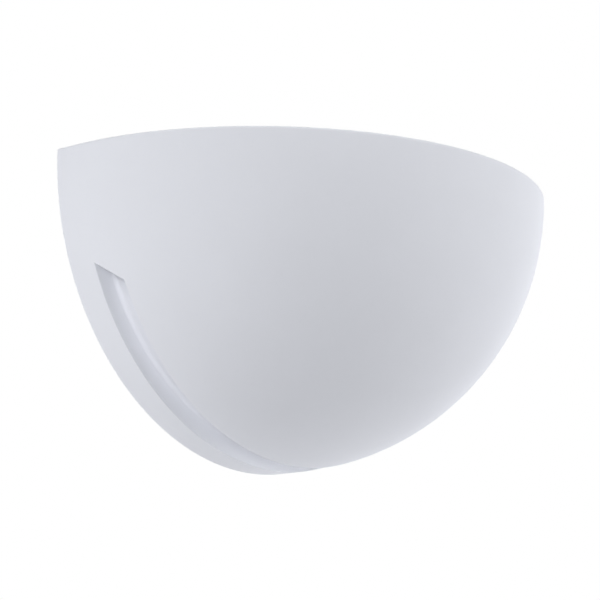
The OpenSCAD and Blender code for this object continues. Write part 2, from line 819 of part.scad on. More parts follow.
// Bell-shaped housing between the screw cap and the globe
module lamp_body() {
  wall = 1.5;
  seat_l = 4;
  color([0.95, 0.95, 0.94]) turned() difference() {
    polygon([
      [0, cap_end - neck_l], [neck_r, cap_end - neck_l], [neck_r, cap_end],
      [cap_d / 2 + 0.4, cap_end], [cap_d / 2 + wall, cap_end + 2 * wall],
      [lip_r - 1, lip_u - 4 * wall], [lip_r, lip_u], [0, lip_u]
    ]);
    ring_profile(0, neck_r - wall, cap_end - neck_l - over, cap_end + 4 * wall);
    polygon([
      [0, cap_end + 3 * wall], [neck_r - 1, cap_end + 3 * wall],
      [lip_r - 2 * wall, lip_u - seat_l], [0, lip_u - seat_l]
    ]);
  }
}

// Round board with a ring of light-emitting chips, on top of the lamp's body
module led_board() {
  chips = 10;
  color([0.85, 0.86, 0.88]) turned() ring_profile(0, board_r, lip_u, lip_u + board_t);
  color([0.95, 0.85, 0.35]) translate([seat_x + lip_u + board_t, -lamp_y, lamp_z])
    rotate([0, 90, 0])
      for (k = [0 : chips - 1])
        rotate(k * 360 / chips) translate([board_r * chip_ring - chip / 2, -chip / 2, 0])
          cube([chip, chip, chip / 4]);
}

module lamp_globe() {
  color([0.97, 0.97, 0.95]) turned() difference() {
    intersection() {
      translate([0, globe_u]) circle(d = globe_d, $fn = 120);
      translate([0, lip_u]) square(globe_d);
    }
    intersection() {
      translate([0, globe_u]) circle(d = globe_d - 2 * globe_t, $fn = 120);
      translate([0, lip_u - over]) square(globe_d);
    }
  }
}

// Wiring ----------------------------------------------------------------------------------

module cable_grommet() {
  color([0.10, 0.10, 0.10]) translate([-entry_x, -grommet_y, entry_z]) rotate([-90, 0, 0])
    rotate_extrude() difference() {
      ring_profile(entry_d / 2, grommet_r, 0, grommet_l);
      ring_profile(entry_hole_d / 2 - fit / 2, grommet_r + over, grommet_front,
                   grommet_front + sheet_t);
      translate([grommet_r, 0]) mirror([1, 0]) corner_cut(0.6 * grommet_front);
      translate([grommet_r, grommet_l]) rotate(180) corner_cut(0.6 * grommet_front);
    }
}

module at_poles() {
  for (k = [-1, 0, 1]) translate([block_x + k * pole_pitch, 0, 0]) children();
}

module terminal_block() {
  bridge_w = 5;
  access_r = m3[1] / 2 + 0.2;
  color([0.93, 0.92, 0.88]) difference() {
    union() {
      translate([block_x - block_w / 2, -plate_y - block_foot, -block_l / 2])
        cube([block_w, block_foot, block_l]);
      at_poles() translate([-tower_w / 2, -plate_y - block_h, -block_l / 2])
        cube([tower_w, block_h, block_l]);
      translate([block_x - pole_pitch, -plate_y - block_bridge, -bridge_w / 2])
        cube([2 * pole_pitch, block_bridge, bridge_w]);
    }
    at_poles() {
      translate([0, -sleeve_y, -block_l])
        cylinder(d = sleeve_d + fit, h = 2 * block_l);
      for (z = [-clamp_z, clamp_z])
        cylinder_y(0, z, sleeve_y, plate_y + block_h + over, access_r);
    }
    at_block_screws() {
      cylinder_y(0, 0, plate_y - over, plate_y + block_h, m25[0] / 2 + fit);
      cylinder_y(0, 0, plate_y + block_rebate, plate_y + block_h, m25[1] / 2 + fit);
    }
  }
}

module terminal_sleeves() {
  color([0.80, 0.66, 0.36]) at_poles() difference() {
    translate([0, -sleeve_y, -block_l / 2 + 1]) cylinder(d = sleeve_d, h = block_l - 2);
    translate([0, -sleeve_y, -block_l]) cylinder(d = sleeve_bore, h = 2 * block_l);
    for (z = [-clamp_z, clamp_z]) cylinder_y(0, z, sleeve_y, sleeve_y + sleeve_d, m3[0] / 2);
  }
}

module terminal_screws() {
  proud = 1;
  reach = wire_d / 2 + fit / 2;             // where a screw's end stops, from the wire's centre
  color([0.72, 0.73, 0.75]) at_poles() for (z = [-clamp_z, clamp_z])
    translate([0, -sleeve_y - sleeve_d / 2 - proud, z]) rotate([90, 0, 0])
      pan_screw(m3, sleeve_d / 2 + proud - reach);
}

module block_screws() {
  color([0.72, 0.73, 0.75]) at_block_screws()
    translate([0, -plate_y - block_rebate, 0]) rotate([90, 0, 0]) pan_screw(m25, block_screw_l);
}

module earth_tag() {
  color([0.82, 0.80, 0.72]) difference() {
    union() {
      cylinder_y(earth_x, earth_z, plate_y + washer_t, plate_y + washer_t + tag_t, ring_d / 2);
      translate([earth_x, -plate_y - washer_t - tag_t, earth_z - tag_w / 2])
        cube([barrel_x + 1.5 - earth_x, tag_t, tag_w]);
      translate([barrel_x, -barrel_y, earth_z]) rotate([0, 90, 0])
        cylinder(r = wire_d / 2 + fit + barrel_wall, h = barrel_l);
    }
    translate([barrel_x - over, -barrel_y, earth_z]) rotate([0, 90, 0])
      cylinder(r = wire_d / 2 + fit, h = barrel_l + 2 * over);
    cylinder_y(earth_x, earth_z, plate_y, plate_y + washer_t + 2 * tag_t + over,
               (m4[0] + run) / 2);
  }
}

module earth_washer() {
  color([0.72, 0.73, 0.75]) difference() {
    cylinder_y(earth_x, earth_z, plate_y, plate_y + washer_t, washer_d / 2);
    cylinder_y(earth_x, earth_z, plate_y - over, plate_y + washer_t + over, (m4[0] + run) / 2);
    for (k = [0 : 7])
      translate([earth_x, -plate_y, earth_z]) rotate([0, k * 45, 0])
        translate([washer_d / 2 - 0.9, -washer_t - over, -washer_notch / 2])
          cube([2, washer_t + 2 * over, washer_notch]);
  }
}

module earth_screw() {
  color([0.80, 0.66, 0.36])
    translate([earth_x, -plate_y - washer_t - tag_t, earth_z]) rotate([90, 0, 0])
      pan_screw(m4, earth_screw_l);
}

module earth_nut() {
  color([0.72, 0.73, 0.75]) translate([earth_x, -joggle, earth_z]) rotate([-90, 0, 0])
    hex_nut(m4_nut_w, m4_nut_h, m4[0]);
}

module live_wire() {
  color([0.45, 0.26, 0.14]) wire(live_route, 3, wire_d);
}

module neutral_wire() {
  color([0.16, 0.35, 0.66]) wire(neutral_route, 3, wire_d);
}

module earth_wire() {
  color([0.35, 0.62, 0.22]) wire(earth_route, 3, wire_d);
}

bowl_shell();
hanger_inserts();
left_hanger();
right_hanger();
hanger_screws();
wall_bracket();
hanging_studs();
left_thumb_screw();
right_thumb_screw();
lampholder_arm();
arm_screws();
arm_nuts();
nipple();
nipple_nut();
holder_cap();
contact_block();
holder_terminal_screws();
screw_shell();
centre_contact();
holder_skirt();
lamp_tip();
lamp_insulator();
lamp_screw_cap();
lamp_body();
led_board();
lamp_globe();
cable_grommet();
terminal_block();
terminal_sleeves();
terminal_screws();
block_screws();
earth_screw();
earth_washer();
earth_tag();
earth_nut();
live_wire();
neutral_wire();
earth_wire();
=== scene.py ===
"""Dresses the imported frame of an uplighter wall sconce, laid out as a Blender add-on.

A plaster quarter-sphere bowl hangs on a steel wall bracket, and a lamp lies across it in a
porcelain holder. Sizes are in metres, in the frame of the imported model: the wall is the plane
y = 0, the sconce stands out towards -Y, and +Z is up.
"""

import json
import math

import bmesh
import bpy
from bpy.props import FloatProperty, FloatVectorProperty, IntProperty, PointerProperty
from mathutils import Matrix, Vector


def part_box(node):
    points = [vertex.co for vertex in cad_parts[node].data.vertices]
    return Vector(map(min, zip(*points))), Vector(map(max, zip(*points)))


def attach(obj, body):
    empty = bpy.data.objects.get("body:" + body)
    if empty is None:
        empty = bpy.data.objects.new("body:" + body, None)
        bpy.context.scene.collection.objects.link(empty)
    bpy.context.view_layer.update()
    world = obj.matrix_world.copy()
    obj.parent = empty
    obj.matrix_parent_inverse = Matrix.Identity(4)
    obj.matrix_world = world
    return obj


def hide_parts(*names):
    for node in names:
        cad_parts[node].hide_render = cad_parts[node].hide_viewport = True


bl_info = {
    "name": "Uplighter wall sconce",
    "version": (1, 0, 0),
    "blender": (4, 5, 0),
    "location": "View3D > Sidebar > Sconce",
    "description": "Builds the visible pieces of a plaster uplighter wall sconce",
    "category": "Object",
}

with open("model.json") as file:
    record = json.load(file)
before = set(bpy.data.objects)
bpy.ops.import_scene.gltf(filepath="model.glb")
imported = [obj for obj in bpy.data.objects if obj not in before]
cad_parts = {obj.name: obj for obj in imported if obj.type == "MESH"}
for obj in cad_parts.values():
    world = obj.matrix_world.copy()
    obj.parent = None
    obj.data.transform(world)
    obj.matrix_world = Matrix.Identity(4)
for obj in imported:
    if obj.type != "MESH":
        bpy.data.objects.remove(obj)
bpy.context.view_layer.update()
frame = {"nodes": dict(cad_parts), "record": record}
BOWL_LOW, BOWL_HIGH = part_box("bowl_shell")
SKIRT_LOW, SKIRT_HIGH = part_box("holder_skirt")
CAP_LOW, CAP_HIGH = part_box("holder_cap")
GLOBE_LOW, GLOBE_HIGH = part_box("lamp_globe")
SCREW_CAP_LOW, SCREW_CAP_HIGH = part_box("lamp_screw_cap")
BODY_LOW, BODY_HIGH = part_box("lamp_body")
LAMP_AXIS = Vector((0, (GLOBE_LOW.y + GLOBE_HIGH.y) / 2, (GLOBE_LOW.z + GLOBE_HIGH.z) / 2))
SEAT_X = CAP_LOW.x
SLOTS = {part["node"]: part["material_slot"] for part in frame["record"]["subparts"]}
MM = 0.001
# How far a corner may lie from a plane or radius and count as on it, and from another corner and
# be merged with it.
NEAR = 1e-5
SAME_PLACE = 1e-6


# Properties ------------------------------------------------------------------------------------


def length(name, description, default, low, high):
    """A size in metres."""
    return FloatProperty(name=name, description=description, default=default, min=low, max=high,
                         precision=4, unit="LENGTH")


def angle(name, description, degrees, low, high):
    """An angle, given in degrees."""
    return FloatProperty(name=name, description=description, default=math.radians(degrees),
                         min=math.radians(low), max=math.radians(high), subtype="ANGLE",
                         unit="ROTATION")


def colour(name, description, default):
    """A linear colour."""
    return FloatVectorProperty(name=name, description=description, default=default, min=0, max=1,
                               size=3, subtype="COLOR")


class BowlSizes(bpy.types.PropertyGroup):
    """Sizes of the plaster bowl."""

    radius: length("Radius", "Outer radius of the quarter sphere",
                   (BOWL_HIGH.x - BOWL_LOW.x) / 2, 0.12, 0.2)
    wall: length("Wall", "Thickness of the plaster", 0.010, 0.006, 0.015)
    band: length("Band", "Depth of the straight band against the wall",
                 -BOWL_LOW.y - (BOWL_HIGH.x - BOWL_LOW.x) / 2, 0.01, 0.03)
    rim_round: length("Rim rounding", "Radius on the edges of the rim", 0.0015, 0.0005, 0.003)
    edge_round: length("Edge rounding", "Radius on the edges of the channel",
                       0.0005, 0.0002, 0.002)
    inside_round: length("Inside rounding", "Radius on the edges of the rib inside",
                         0.0022, 0.001, 0.004)
    back_round: length("Back rounding", "Radius on the edges against the wall",
                       0.0006, 0.0002, 0.001)
    channel_offset: length("Channel offset", "Distance from the wall to the channel",
                           0.01775, 0.01, 0.03)
    channel_width: length("Channel width", "Width of the channel", 0.01575, 0.005, 0.03)
    channel_depth: length("Channel depth", "Depth of the channel", 0.011, 0.003, 0.015)
    end_drop: length("End drop", "From the rim down to the channel's upper end", 0.061, 0.03, 0.09)
    end_slope: angle("End slope", "Slope of the channel's ends towards the front", 29, 0, 45)
    end_draft: angle("End draft", "Slope of the channel's ends towards the middle", 10, 0, 30)
    rib: length("Rib", "Plaster left behind the channel's floor", 0.008, 0.004, 0.012)
    rib_side: length("Rib side", "Plaster left beside the channel, inside", 0.008, 0.004, 0.012)
    rows: IntProperty(name="Rows", description="Rows of faces round the bowl", default=144,
                      min=72, max=240)


class LampSizes(bpy.types.PropertyGroup):
    """Sizes of the lamp and of the holder that carries it."""

    globe: length("Globe radius", "Radius of the opal globe",
                  (GLOBE_HIGH.y - GLOBE_LOW.y) / 2, 0.02, 0.04)
    thread: length("Thread pitch", "Pitch of the screw cap's thread", 0.0036, 0.003, 0.004)
    thread_depth: length("Thread depth", "Depth of the screw cap's thread", 0.001, 0.0005, 0.0015)
    holder: length("Holder radius", "Outer radius of the lampholder",
                   (SKIRT_HIGH.y - SKIRT_LOW.y) / 2, 0.015, 0.03)
    steps: IntProperty(name="Steps", description="Steps round each turned piece", default=96,
                       min=32, max=192)


class WireSizes(bpy.types.PropertyGroup):
    """Sizes of the wires between the terminal block and the lampholder."""

    diameter: length("Diameter", "Diameter over the insulation", 0.0024, 0.0015, 0.004)
    stripe: angle("Stripe", "Part of the earth wire's round that is yellow", 130, 60, 200)


class FinishSettings(bpy.types.PropertyGroup):
    """Colours of the main finishes."""

    plaster: colour("Plaster", "Colour of the cast plaster", (0.862, 0.872, 0.904))
    plaster_tint: colour("Plaster tint", "Second colour in the plaster's mottling",
                         (0.835, 0.845, 0.875))
    paint: colour("Bracket paint", "Colour of the powder coat", (0.84, 0.845, 0.85))
    porcelain: colour("Porcelain", "Colour of the lampholder's glaze", (0.88, 0.865, 0.82))
    opal: colour("Opal", "Colour of the lamp's globe", (0.90, 0.90, 0.88))


class StageSettings(bpy.types.PropertyGroup):
    """The floor, the lights and the camera."""

    floor_z: length("Floor height", "Height of the floor", -1.3, -2, -0.2)
    floor_size: length("Floor size", "Width of the floor", 8.0, 1, 20)
    ambient: FloatProperty(name="Ambient", description="Strength of the light from all round",
                           default=0.135, min=0, max=2)
    mirrored: FloatProperty(name="Mirrored", description="Strength of the studio seen in metal",
                            default=0.6, min=0, max=2)
    lens: FloatProperty(name="Lens", description="Focal length in millimetres",
                        default=143.504, min=20, max=300)


# Modelling helpers -----------------------------------------------------------------------------


def only(piece):
    """Makes a piece the one selected and active object."""
    bpy.ops.object.select_all(action="DESELECT")
    piece.select_set(True)
    bpy.context.view_layer.objects.active = piece
    return piece


def begin(name):
    """Starts a piece in edit mode, as one corner at the origin."""
    bpy.ops.object.select_all(action="DESELECT")
    bpy.ops.mesh.primitive_plane_add(size=0.01, location=(0, 0, 0))
    piece = bpy.context.object
    piece.name = piece.data.name = name
    bpy.ops.object.mode_set(mode="EDIT")
    bpy.ops.mesh.select_mode(type="VERT")
    pick_all()
    bpy.ops.mesh.merge(type="CENTER")
    return piece


def trace(points, closed=False):
    """Draws edges through points, from the one selected corner, which is at the origin."""
    at = Vector((0, 0, 0))
    for number, point in enumerate(points):
        step = Vector(point) - at
        at = Vector(point)
        if number == 0:
            bpy.ops.transform.translate(value=step)
        else:
            bpy.ops.mesh.extrude_vertices_move(TRANSFORM_OT_translate={"value": step})
    if closed:
        mesh = bmesh.from_edit_mesh(bpy.context.object.data)
        mesh.verts.ensure_lookup_table()
        mesh.edges.new((mesh.verts[-1], mesh.verts[len(mesh.verts) - len(points)]))
        bmesh.update_edit_mesh(bpy.context.object.data)


def pick(piece, test, kind="FACE"):
    """Selects, in edit mode, each face, edge or corner that passes the test."""
    bpy.ops.mesh.select_mode(type=kind)
    bpy.ops.mesh.select_all(action="DESELECT")
    mesh = bmesh.from_edit_mesh(piece.data)
    found = 0
    for part in {"FACE": mesh.faces, "EDGE": mesh.edges, "VERT": mesh.verts}[kind]:
        if test(part):
            part.select_set(True)
            found += 1
    bmesh.update_edit_mesh(piece.data)
    if not found:
        raise RuntimeError(f"nothing to select on {piece.name}")


def pick_all():
    """Selects the whole piece, in edit mode."""
    bpy.ops.mesh.select_all(action="SELECT")


def place_picked(piece, new_place):
    """Moves each selected corner to the place that new_place gives for its own."""
    mesh = bmesh.from_edit_mesh(piece.data)
    for corner in mesh.verts:
        if corner.select:
            corner.co = new_place(corner.co)
    bmesh.update_edit_mesh(piece.data)


def spin_all(steps, turn, centre, axis):
    """Spins all that is drawn about an axis, in edit mode."""
    pick_all()
    bpy.ops.mesh.spin(steps=steps, angle=turn, center=centre, axis=axis)


def close_up():
    """Merges doubles, drops loose edges and turns every face outwards, in edit mode."""
    pick_all()
    bpy.ops.mesh.remove_doubles(threshold=SAME_PLACE)
    bpy.ops.mesh.delete_loose()
    pick_all()
    bpy.ops.mesh.normals_make_consistent(inside=False)


def middle(edge):
    """Middle of an edge."""
    return (edge.verts[0].co + edge.verts[1].co) / 2


def sharp(edge, degrees=30):
    """Whether the faces at an edge meet at more than an angle."""
    return len(edge.link_faces) == 2 and edge.calc_face_angle() > math.radians(degrees)


def round_edges(piece, test, width, segments):
    """Rounds each edge that passes the test, in edit mode."""
    pick(piece, test, "EDGE")
    bpy.ops.mesh.bevel(offset=width, segments=segments, affect="EDGES")


def join(piece, others):
    """Joins other pieces to a piece, in object mode."""
    only(piece)
    for other in others:
        other.select_set(True)
    bpy.ops.object.join()


def apply_modifier(piece, kind, **values):
    """Adds a modifier with its values and applies it."""
    bpy.ops.object.mode_set(mode="OBJECT")
    only(piece)
    bpy.ops.object.modifier_add(type=kind)
    modifier = piece.modifiers[-1]
    for name, value in values.items():
        setattr(modifier, name, value)
    bpy.ops.object.modifier_apply(modifier=modifier.name)


def complete(piece, body, slot, node, smooth=35):
    """Smooths a finished piece, gives it its finish, and hangs it on its body."""
    bpy.ops.object.mode_set(mode="OBJECT")
    only(piece)
    bpy.ops.object.transform_apply(location=True, rotation=True, scale=True)
    bpy.ops.object.shade_smooth_by_angle(angle=math.radians(smooth))
    apply_modifier(piece, "WEIGHTED_NORMAL", keep_sharp=True)
    if not piece.data.materials:
        piece.data.materials.append(bpy.data.materials[slot])
    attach(piece, body)
    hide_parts(node)
    return piece


def rounded(corners, closed=False, steps=5):
    """Points through corners given as (u, r, rounding)."""
    points = []
    for number, (u, r, rounding) in enumerate(corners):
        here = Vector((u, r))
        at_end = number in (0, len(corners) - 1) and not closed
        if rounding == 0 or at_end:
            points.append(here)
            continue
        before = Vector(corners[number - 1][:2]) - here
        after = Vector(corners[(number + 1) % len(corners)][:2]) - here
        half = before.angle(after) / 2
        before.normalize()
        after.normalize()
        start = before * rounding / math.tan(half)
        stop = after * rounding / math.tan(half)
        centre = (before + after).normalized() * rounding / math.sin(half)
        for step in range(steps + 1):
            arm = (start - centre).lerp(stop - centre, step / steps).normalized() * rounding
            points.append(here + centre + arm)
    return points


def turned(name, profile, steps, closed=True):
    """A piece turned about the lamp's axis, from points (u, r).

    u is the distance from the lampholder's seat on its arm, and r the distance from the axis.
    """
    piece = begin(name)
    trace([(SEAT_X + u, LAMP_AXIS.y, LAMP_AXIS.z + r) for u, r in profile], closed)
    spin_all(steps, math.tau, LAMP_AXIS, (1, 0, 0))
    close_up()
    return piece


def softened(node, width):
    """A copy of a CAD node, merged, with its flat faces joined and its edges rounded."""
    bpy.ops.object.mode_set(mode="OBJECT")
    source = frame["nodes"][node]
    piece = source.copy()
    piece.data = source.data.copy()
    piece.parent = None
    for key in list(piece.keys()):
        del piece[key]
    bpy.context.scene.collection.objects.link(piece)
    piece.name = piece.data.name = node + "_piece"
    piece.data.materials.clear()
    only(piece)
    bpy.ops.mesh.customdata_custom_splitnormals_clear()
    bpy.ops.object.mode_set(mode="EDIT")
    pick_all()
    bpy.ops.mesh.remove_doubles(threshold=2 * SAME_PLACE)
    bpy.ops.mesh.dissolve_limited(angle_limit=math.radians(1.0))
    apply_modifier(piece, "BEVEL", width=width, segments=2, limit_method="ANGLE",
                   angle_limit=math.radians(35), use_clamp_overlap=True)
    bpy.ops.object.mode_set(mode="EDIT")
    pick_all()
    bpy.ops.mesh.dissolve_degenerate(threshold=SAME_PLACE)
    bpy.ops.object.mode_set(mode="OBJECT")
    return piece


# Threads ---------------------------------------------------------------------------------------


SHANK_RADIUS = 0.00195
SHANK_PITCH = 0.0007
SHANK_DEPTH = SHANK_PITCH * 0.35
SHANK_OVERLAP = 0.0002
SCREW_ROUND = 0.15 * MM


def thread_height(u, run, turn, pitch, fade):
    """Height of a rounded thread, from 0 to 1, at u along its run and a turn about it.

    The thread fades out over that many of its own turns at both ends.
    """
    wave = 0.5 + 0.5 * math.cos(math.tau * u / pitch - turn)
    return wave * min(1, u / pitch / fade, (run - u) / pitch / fade)


def cut_thread(piece, start, stop, least, pitch, depth):
    """Gives a piece turned about the lamp's axis a thread on all that lies past a radius."""
    def threaded(co):
        arm = Vector((0, co.y - LAMP_AXIS.y, co.z - LAMP_AXIS.z))
        u = co.x - SEAT_X
        if arm.length < least or not start < u < stop:
            return co
        turn = math.atan2(arm.z, arm.y)
        radius = arm.length + depth * thread_height(u - start, stop - start, turn, pitch, 0.5)
        return LAMP_AXIS + Vector((co.x, 0, 0)) + arm.normalized() * radius
    pick_all()
    place_picked(piece, threaded)


def threaded_shank(start, along, run):
    """A closed screw shank with a thread, from a place along a direction."""
    count = round(run / SHANK_PITCH * 6)
    piece = begin("shank")
    line = [(SHANK_RADIUS - SHANK_DEPTH, run * number / count) for number in range(count + 1)]
    trace([(r, 0, u) for r, u in [(0, 0), *line, (0, run)]])
    spin_all(24, math.tau, (0, 0, 0), (0, 0, 1))
    close_up()
    turned_to = along.to_track_quat("Z", "Y")

    def threaded(co):
        around = Vector((co.x, co.y, 0))
        if around.length > SHANK_RADIUS * 0.5:
            turn = math.atan2(co.y, co.x)
            height = SHANK_DEPTH * thread_height(co.z, run, turn, SHANK_PITCH, 1)
            around *= 1 + height / around.length
        return start + turned_to @ (around + Vector((0, 0, co.z)))
    pick_all()
    place_picked(piece, threaded)
    bpy.ops.object.mode_set(mode="OBJECT")
    return piece


def threaded_screws(node, body, finish, places, along, run):
    """Screws with rounded edges, cut off under their heads and given threaded shanks."""
    along = Vector(along)
    piece = only(softened(node, SCREW_ROUND))
    bpy.ops.object.mode_set(mode="EDIT")
    pick_all()
    bpy.ops.mesh.bisect(plane_co=Vector(places[0]) + along * SAME_PLACE, plane_no=along,
                        use_fill=True, clear_outer=True, threshold=1e-7)
    bpy.ops.object.mode_set(mode="OBJECT")
    shanks = [threaded_shank(Vector(place) - along * SHANK_OVERLAP, along, run + SHANK_OVERLAP)
              for place in places]
    join(piece, shanks)
    complete(piece, body, finish, node)


# Finishes --------------------------------------------------------------------------------------


def new_group(name, inputs, outputs):
    """A shader node group with its sockets, and its input and output nodes."""
    group = bpy.data.node_groups.new(name, "ShaderNodeTree")
    kinds = {"value": "NodeSocketFloat", "colour": "NodeSocketColor", "vector": "NodeSocketVector"}
    for socket, kind, default in inputs:
        made = group.interface.new_socket(socket, in_out="INPUT", socket_type=kinds[kind])
        if default is not None:
            made.default_value = default
    for socket, kind in outputs:
        group.interface.new_socket(socket, in_out="OUTPUT", socket_type=kinds[kind])
    source = group.nodes.new("NodeGroupInput")
    result = group.nodes.new("NodeGroupOutput")
    source.location = (-800, 0)
    result.location = (600, 0)
    return group, source, result


def add_node(tree, kind, place, links=None, **values):
    """A node with settings, and links or numbers for its sockets."""
    node = tree.nodes.new("ShaderNode" + kind)
    node.location = place
    for name, value in values.items():
        setattr(node, name, value)
    for socket, source in (links or {}).items():
        if isinstance(source, bpy.types.NodeSocket):
            tree.links.new(source, node.inputs[socket])
        else:
            node.inputs[socket].default_value = source
    return node


def calculate(tree, place, operation, first, second):
    """Result of a maths node on two sockets or numbers."""
    return add_node(tree, "Math", place, {0: first, 1: second}, operation=operation).outputs[0]


def mix_colours(tree, place, share, first, second, blend="MIX"):
    """Result of a colour mix of two sockets or colours."""
    return add_node(tree, "Mix", place, {0: share, 6: first, 7: second}, data_type="RGBA",
                    blend_type=blend).outputs[2]


def build_mottling():
    """Slow change between two colours, as in cast, moulded and coated surfaces."""
    group, given, result = new_group(
        "mottling",
        [("Position", "vector", None), ("Colour", "colour", (1, 1, 1, 1)),
         ("Tint", "colour", (1, 1, 1, 1)), ("Scale", "value", 20), ("Amount", "value", 0.5)],
        [("Colour", "colour")])
    broad = add_node(group, "TexNoise", (-560, 80),
                     {"Vector": given.outputs["Position"], "Scale": given.outputs["Scale"],
                      "Detail": 5.0, "Roughness": 0.62})
    spread = add_node(group, "MapRange", (-340, 80),
                      {"Value": broad.outputs["Fac"], "From Min": 0.32, "From Max": 0.68})
    share = calculate(group, (-140, 80), "MULTIPLY", spread.outputs["Result"],
                      given.outputs["Amount"])
    mixed = mix_colours(group, (80, 0), share, given.outputs["Colour"], given.outputs["Tint"])
    group.links.new(mixed, result.inputs["Colour"])


def build_grain():
    """Fine and middling unevenness of a surface, as a height."""
    group, given, result = new_group(
        "grain",
        [("Position", "vector", None), ("Scale", "value", 800), ("Waves", "value", 60),
         ("Wave share", "value", 0.5)],
        [("Height", "value")])
    fine = add_node(group, "TexNoise", (-560, 120),
                    {"Vector": given.outputs["Position"], "Scale": given.outputs["Scale"],
                     "Detail": 3.0, "Roughness": 0.55})
    wave = add_node(group, "TexNoise", (-560, -120),
                    {"Vector": given.outputs["Position"], "Scale": given.outputs["Waves"],
                     "Detail": 2.0, "Roughness": 0.5})
    raised = calculate(group, (-340, -120), "MULTIPLY", wave.outputs["Fac"],
                       given.outputs["Wave share"])
    both = calculate(group, (-120, 0), "ADD", fine.outputs["Fac"], raised)
    group.links.new(both, result.inputs["Height"])


def build_pores():
    """Small scattered pits, as a height, and a mask that the finishes use to paint shade into the
    pits.
    """
    group, given, result = new_group(
        "pores",
        [("Position", "vector", None), ("Scale", "value", 500), ("Size", "value", 0.2),
         ("Share", "value", 0.3)],
        [("Height", "value"), ("Mask", "value")])
    cells = add_node(group, "TexVoronoi", (-560, 120),
                     {"Vector": given.outputs["Position"], "Scale": given.outputs["Scale"]})
    pit = add_node(group, "MapRange", (-340, 160),
                   {"Value": cells.outputs["Distance"], "From Min": given.outputs["Size"],
                    "From Max": 0.0, "To Min": 0.0, "To Max": 1.0})
    chosen = add_node(group, "SeparateColor", (-340, -60), {"Color": cells.outputs["Color"]})
    few = calculate(group, (-140, -60), "LESS_THAN", chosen.outputs[0], given.outputs["Share"])
    mask = calculate(group, (60, 80), "MULTIPLY", pit.outputs["Result"], few)
    sunk = calculate(group, (260, 160), "MULTIPLY", mask, -1.0)
    group.links.new(sunk, result.inputs["Height"])
    group.links.new(mask, result.inputs["Mask"])


def build_wear():
    """Patches of handling and fine streaks, as the roughness that they leave."""
    group, given, result = new_group(
        "wear",
        [("Position", "vector", None), ("Scale", "value", 40), ("Streaks", "value", 900),
         ("Low", "value", 0.4), ("High", "value", 0.6)],
        [("Roughness", "value")])
    patch = add_node(group, "TexNoise", (-560, 120),
                     {"Vector": given.outputs["Position"], "Scale": given.outputs["Scale"],
                      "Detail": 6.0, "Roughness": 0.7})
    stretch = add_node(group, "Mapping", (-760, -160), {"Vector": given.outputs["Position"],
                                                       "Scale": (1.0, 0.06, 1.0)})
    streak = add_node(group, "TexNoise", (-560, -160),
                      {"Vector": stretch.outputs["Vector"], "Scale": given.outputs["Streaks"],
                       "Detail": 2.0, "Roughness": 0.6})
    mixed = calculate(group, (-340, 0), "ADD", patch.outputs["Fac"], streak.outputs["Fac"])
    level = add_node(group, "MapRange", (-120, 0),
                     {"Value": mixed, "From Min": 0.7, "From Max": 1.3,
                      "To Min": given.outputs["Low"], "To Max": given.outputs["High"]})
    group.links.new(level.outputs["Result"], result.inputs["Roughness"])


def use_group(tree, name, place, links):
    """Places a node group in a material, with its own values."""
    return add_node(tree, "Group", place, links, node_tree=bpy.data.node_groups[name])


# Colour multiplied into the pits of the pores: painted shade in the recesses.
PAINTED_PORE_SHADE = (0.93, 0.93, 0.94, 1)


def make_finish(name, base, tint, patch, roughness, grain, depth, metallic=0.0, pores=None,
                stretch=(1, 1, 1), waves=60, wave_share=0.5, **shader):
    """A material from the shared groups.

    patch, grain and waves are scales per metre, depth is the relief in metres, pores are their
    scale, size and share, and shader holds plain values of the surface's sockets.
    """
    material = bpy.data.materials.new(name)
    material.use_nodes = True
    tree = material.node_tree
    surface = tree.nodes["Principled BSDF"]
    surface.location = (500, 0)
    position = add_node(tree, "TexCoord", (-900, 0)).outputs["Object"]
    drawn = add_node(tree, "Mapping", (-700, -200),
                     {"Vector": position, "Scale": stretch}).outputs["Vector"]
    mottling = use_group(tree, "mottling", (-400, 250), {
        "Position": position, "Colour": (*base, 1), "Tint": (*tint, 1), "Scale": patch,
        "Amount": 0.6})
    wear = use_group(tree, "wear", (-400, 0), {
        "Position": drawn, "Scale": patch * 2.5, "Streaks": grain * 0.8,
        "Low": roughness[0], "High": roughness[1]})
    relief = use_group(tree, "grain", (-400, -250), {
        "Position": drawn, "Scale": grain, "Waves": waves, "Wave share": wave_share})
    height = relief.outputs["Height"]
    paint = mottling.outputs["Colour"]
    if pores:
        pits = use_group(tree, "pores", (-400, -500), {
            "Position": position, "Scale": pores[0], "Size": pores[1], "Share": pores[2]})
        height = calculate(tree, (-100, -350), "ADD", height, pits.outputs["Height"])
        # The pores' mask darkens the colour in the pits: painted shade in the recesses.
        paint = mix_colours(tree, (100, 250), pits.outputs["Mask"], paint, PAINTED_PORE_SHADE, "MULTIPLY")
    bump = add_node(tree, "Bump", (250, -250),
                    {"Height": height, "Strength": 1.0, "Distance": depth})
    tree.links.new(paint, surface.inputs["Base Color"])
    tree.links.new(wear.outputs["Roughness"], surface.inputs["Roughness"])
    tree.links.new(bump.outputs["Normal"], surface.inputs["Normal"])
    surface.inputs["Metallic"].default_value = metallic
    for socket, value in shader.items():
        surface.inputs[socket.replace("_", " ")].default_value = value


def keep_node(node, finish):
    """Gives a CAD node that is shown as it is its finish."""
    materials = frame["nodes"][node].data.materials
    if not materials:
        materials.append(None)
    for number in range(len(materials)):
        materials[number] = bpy.data.materials[finish]


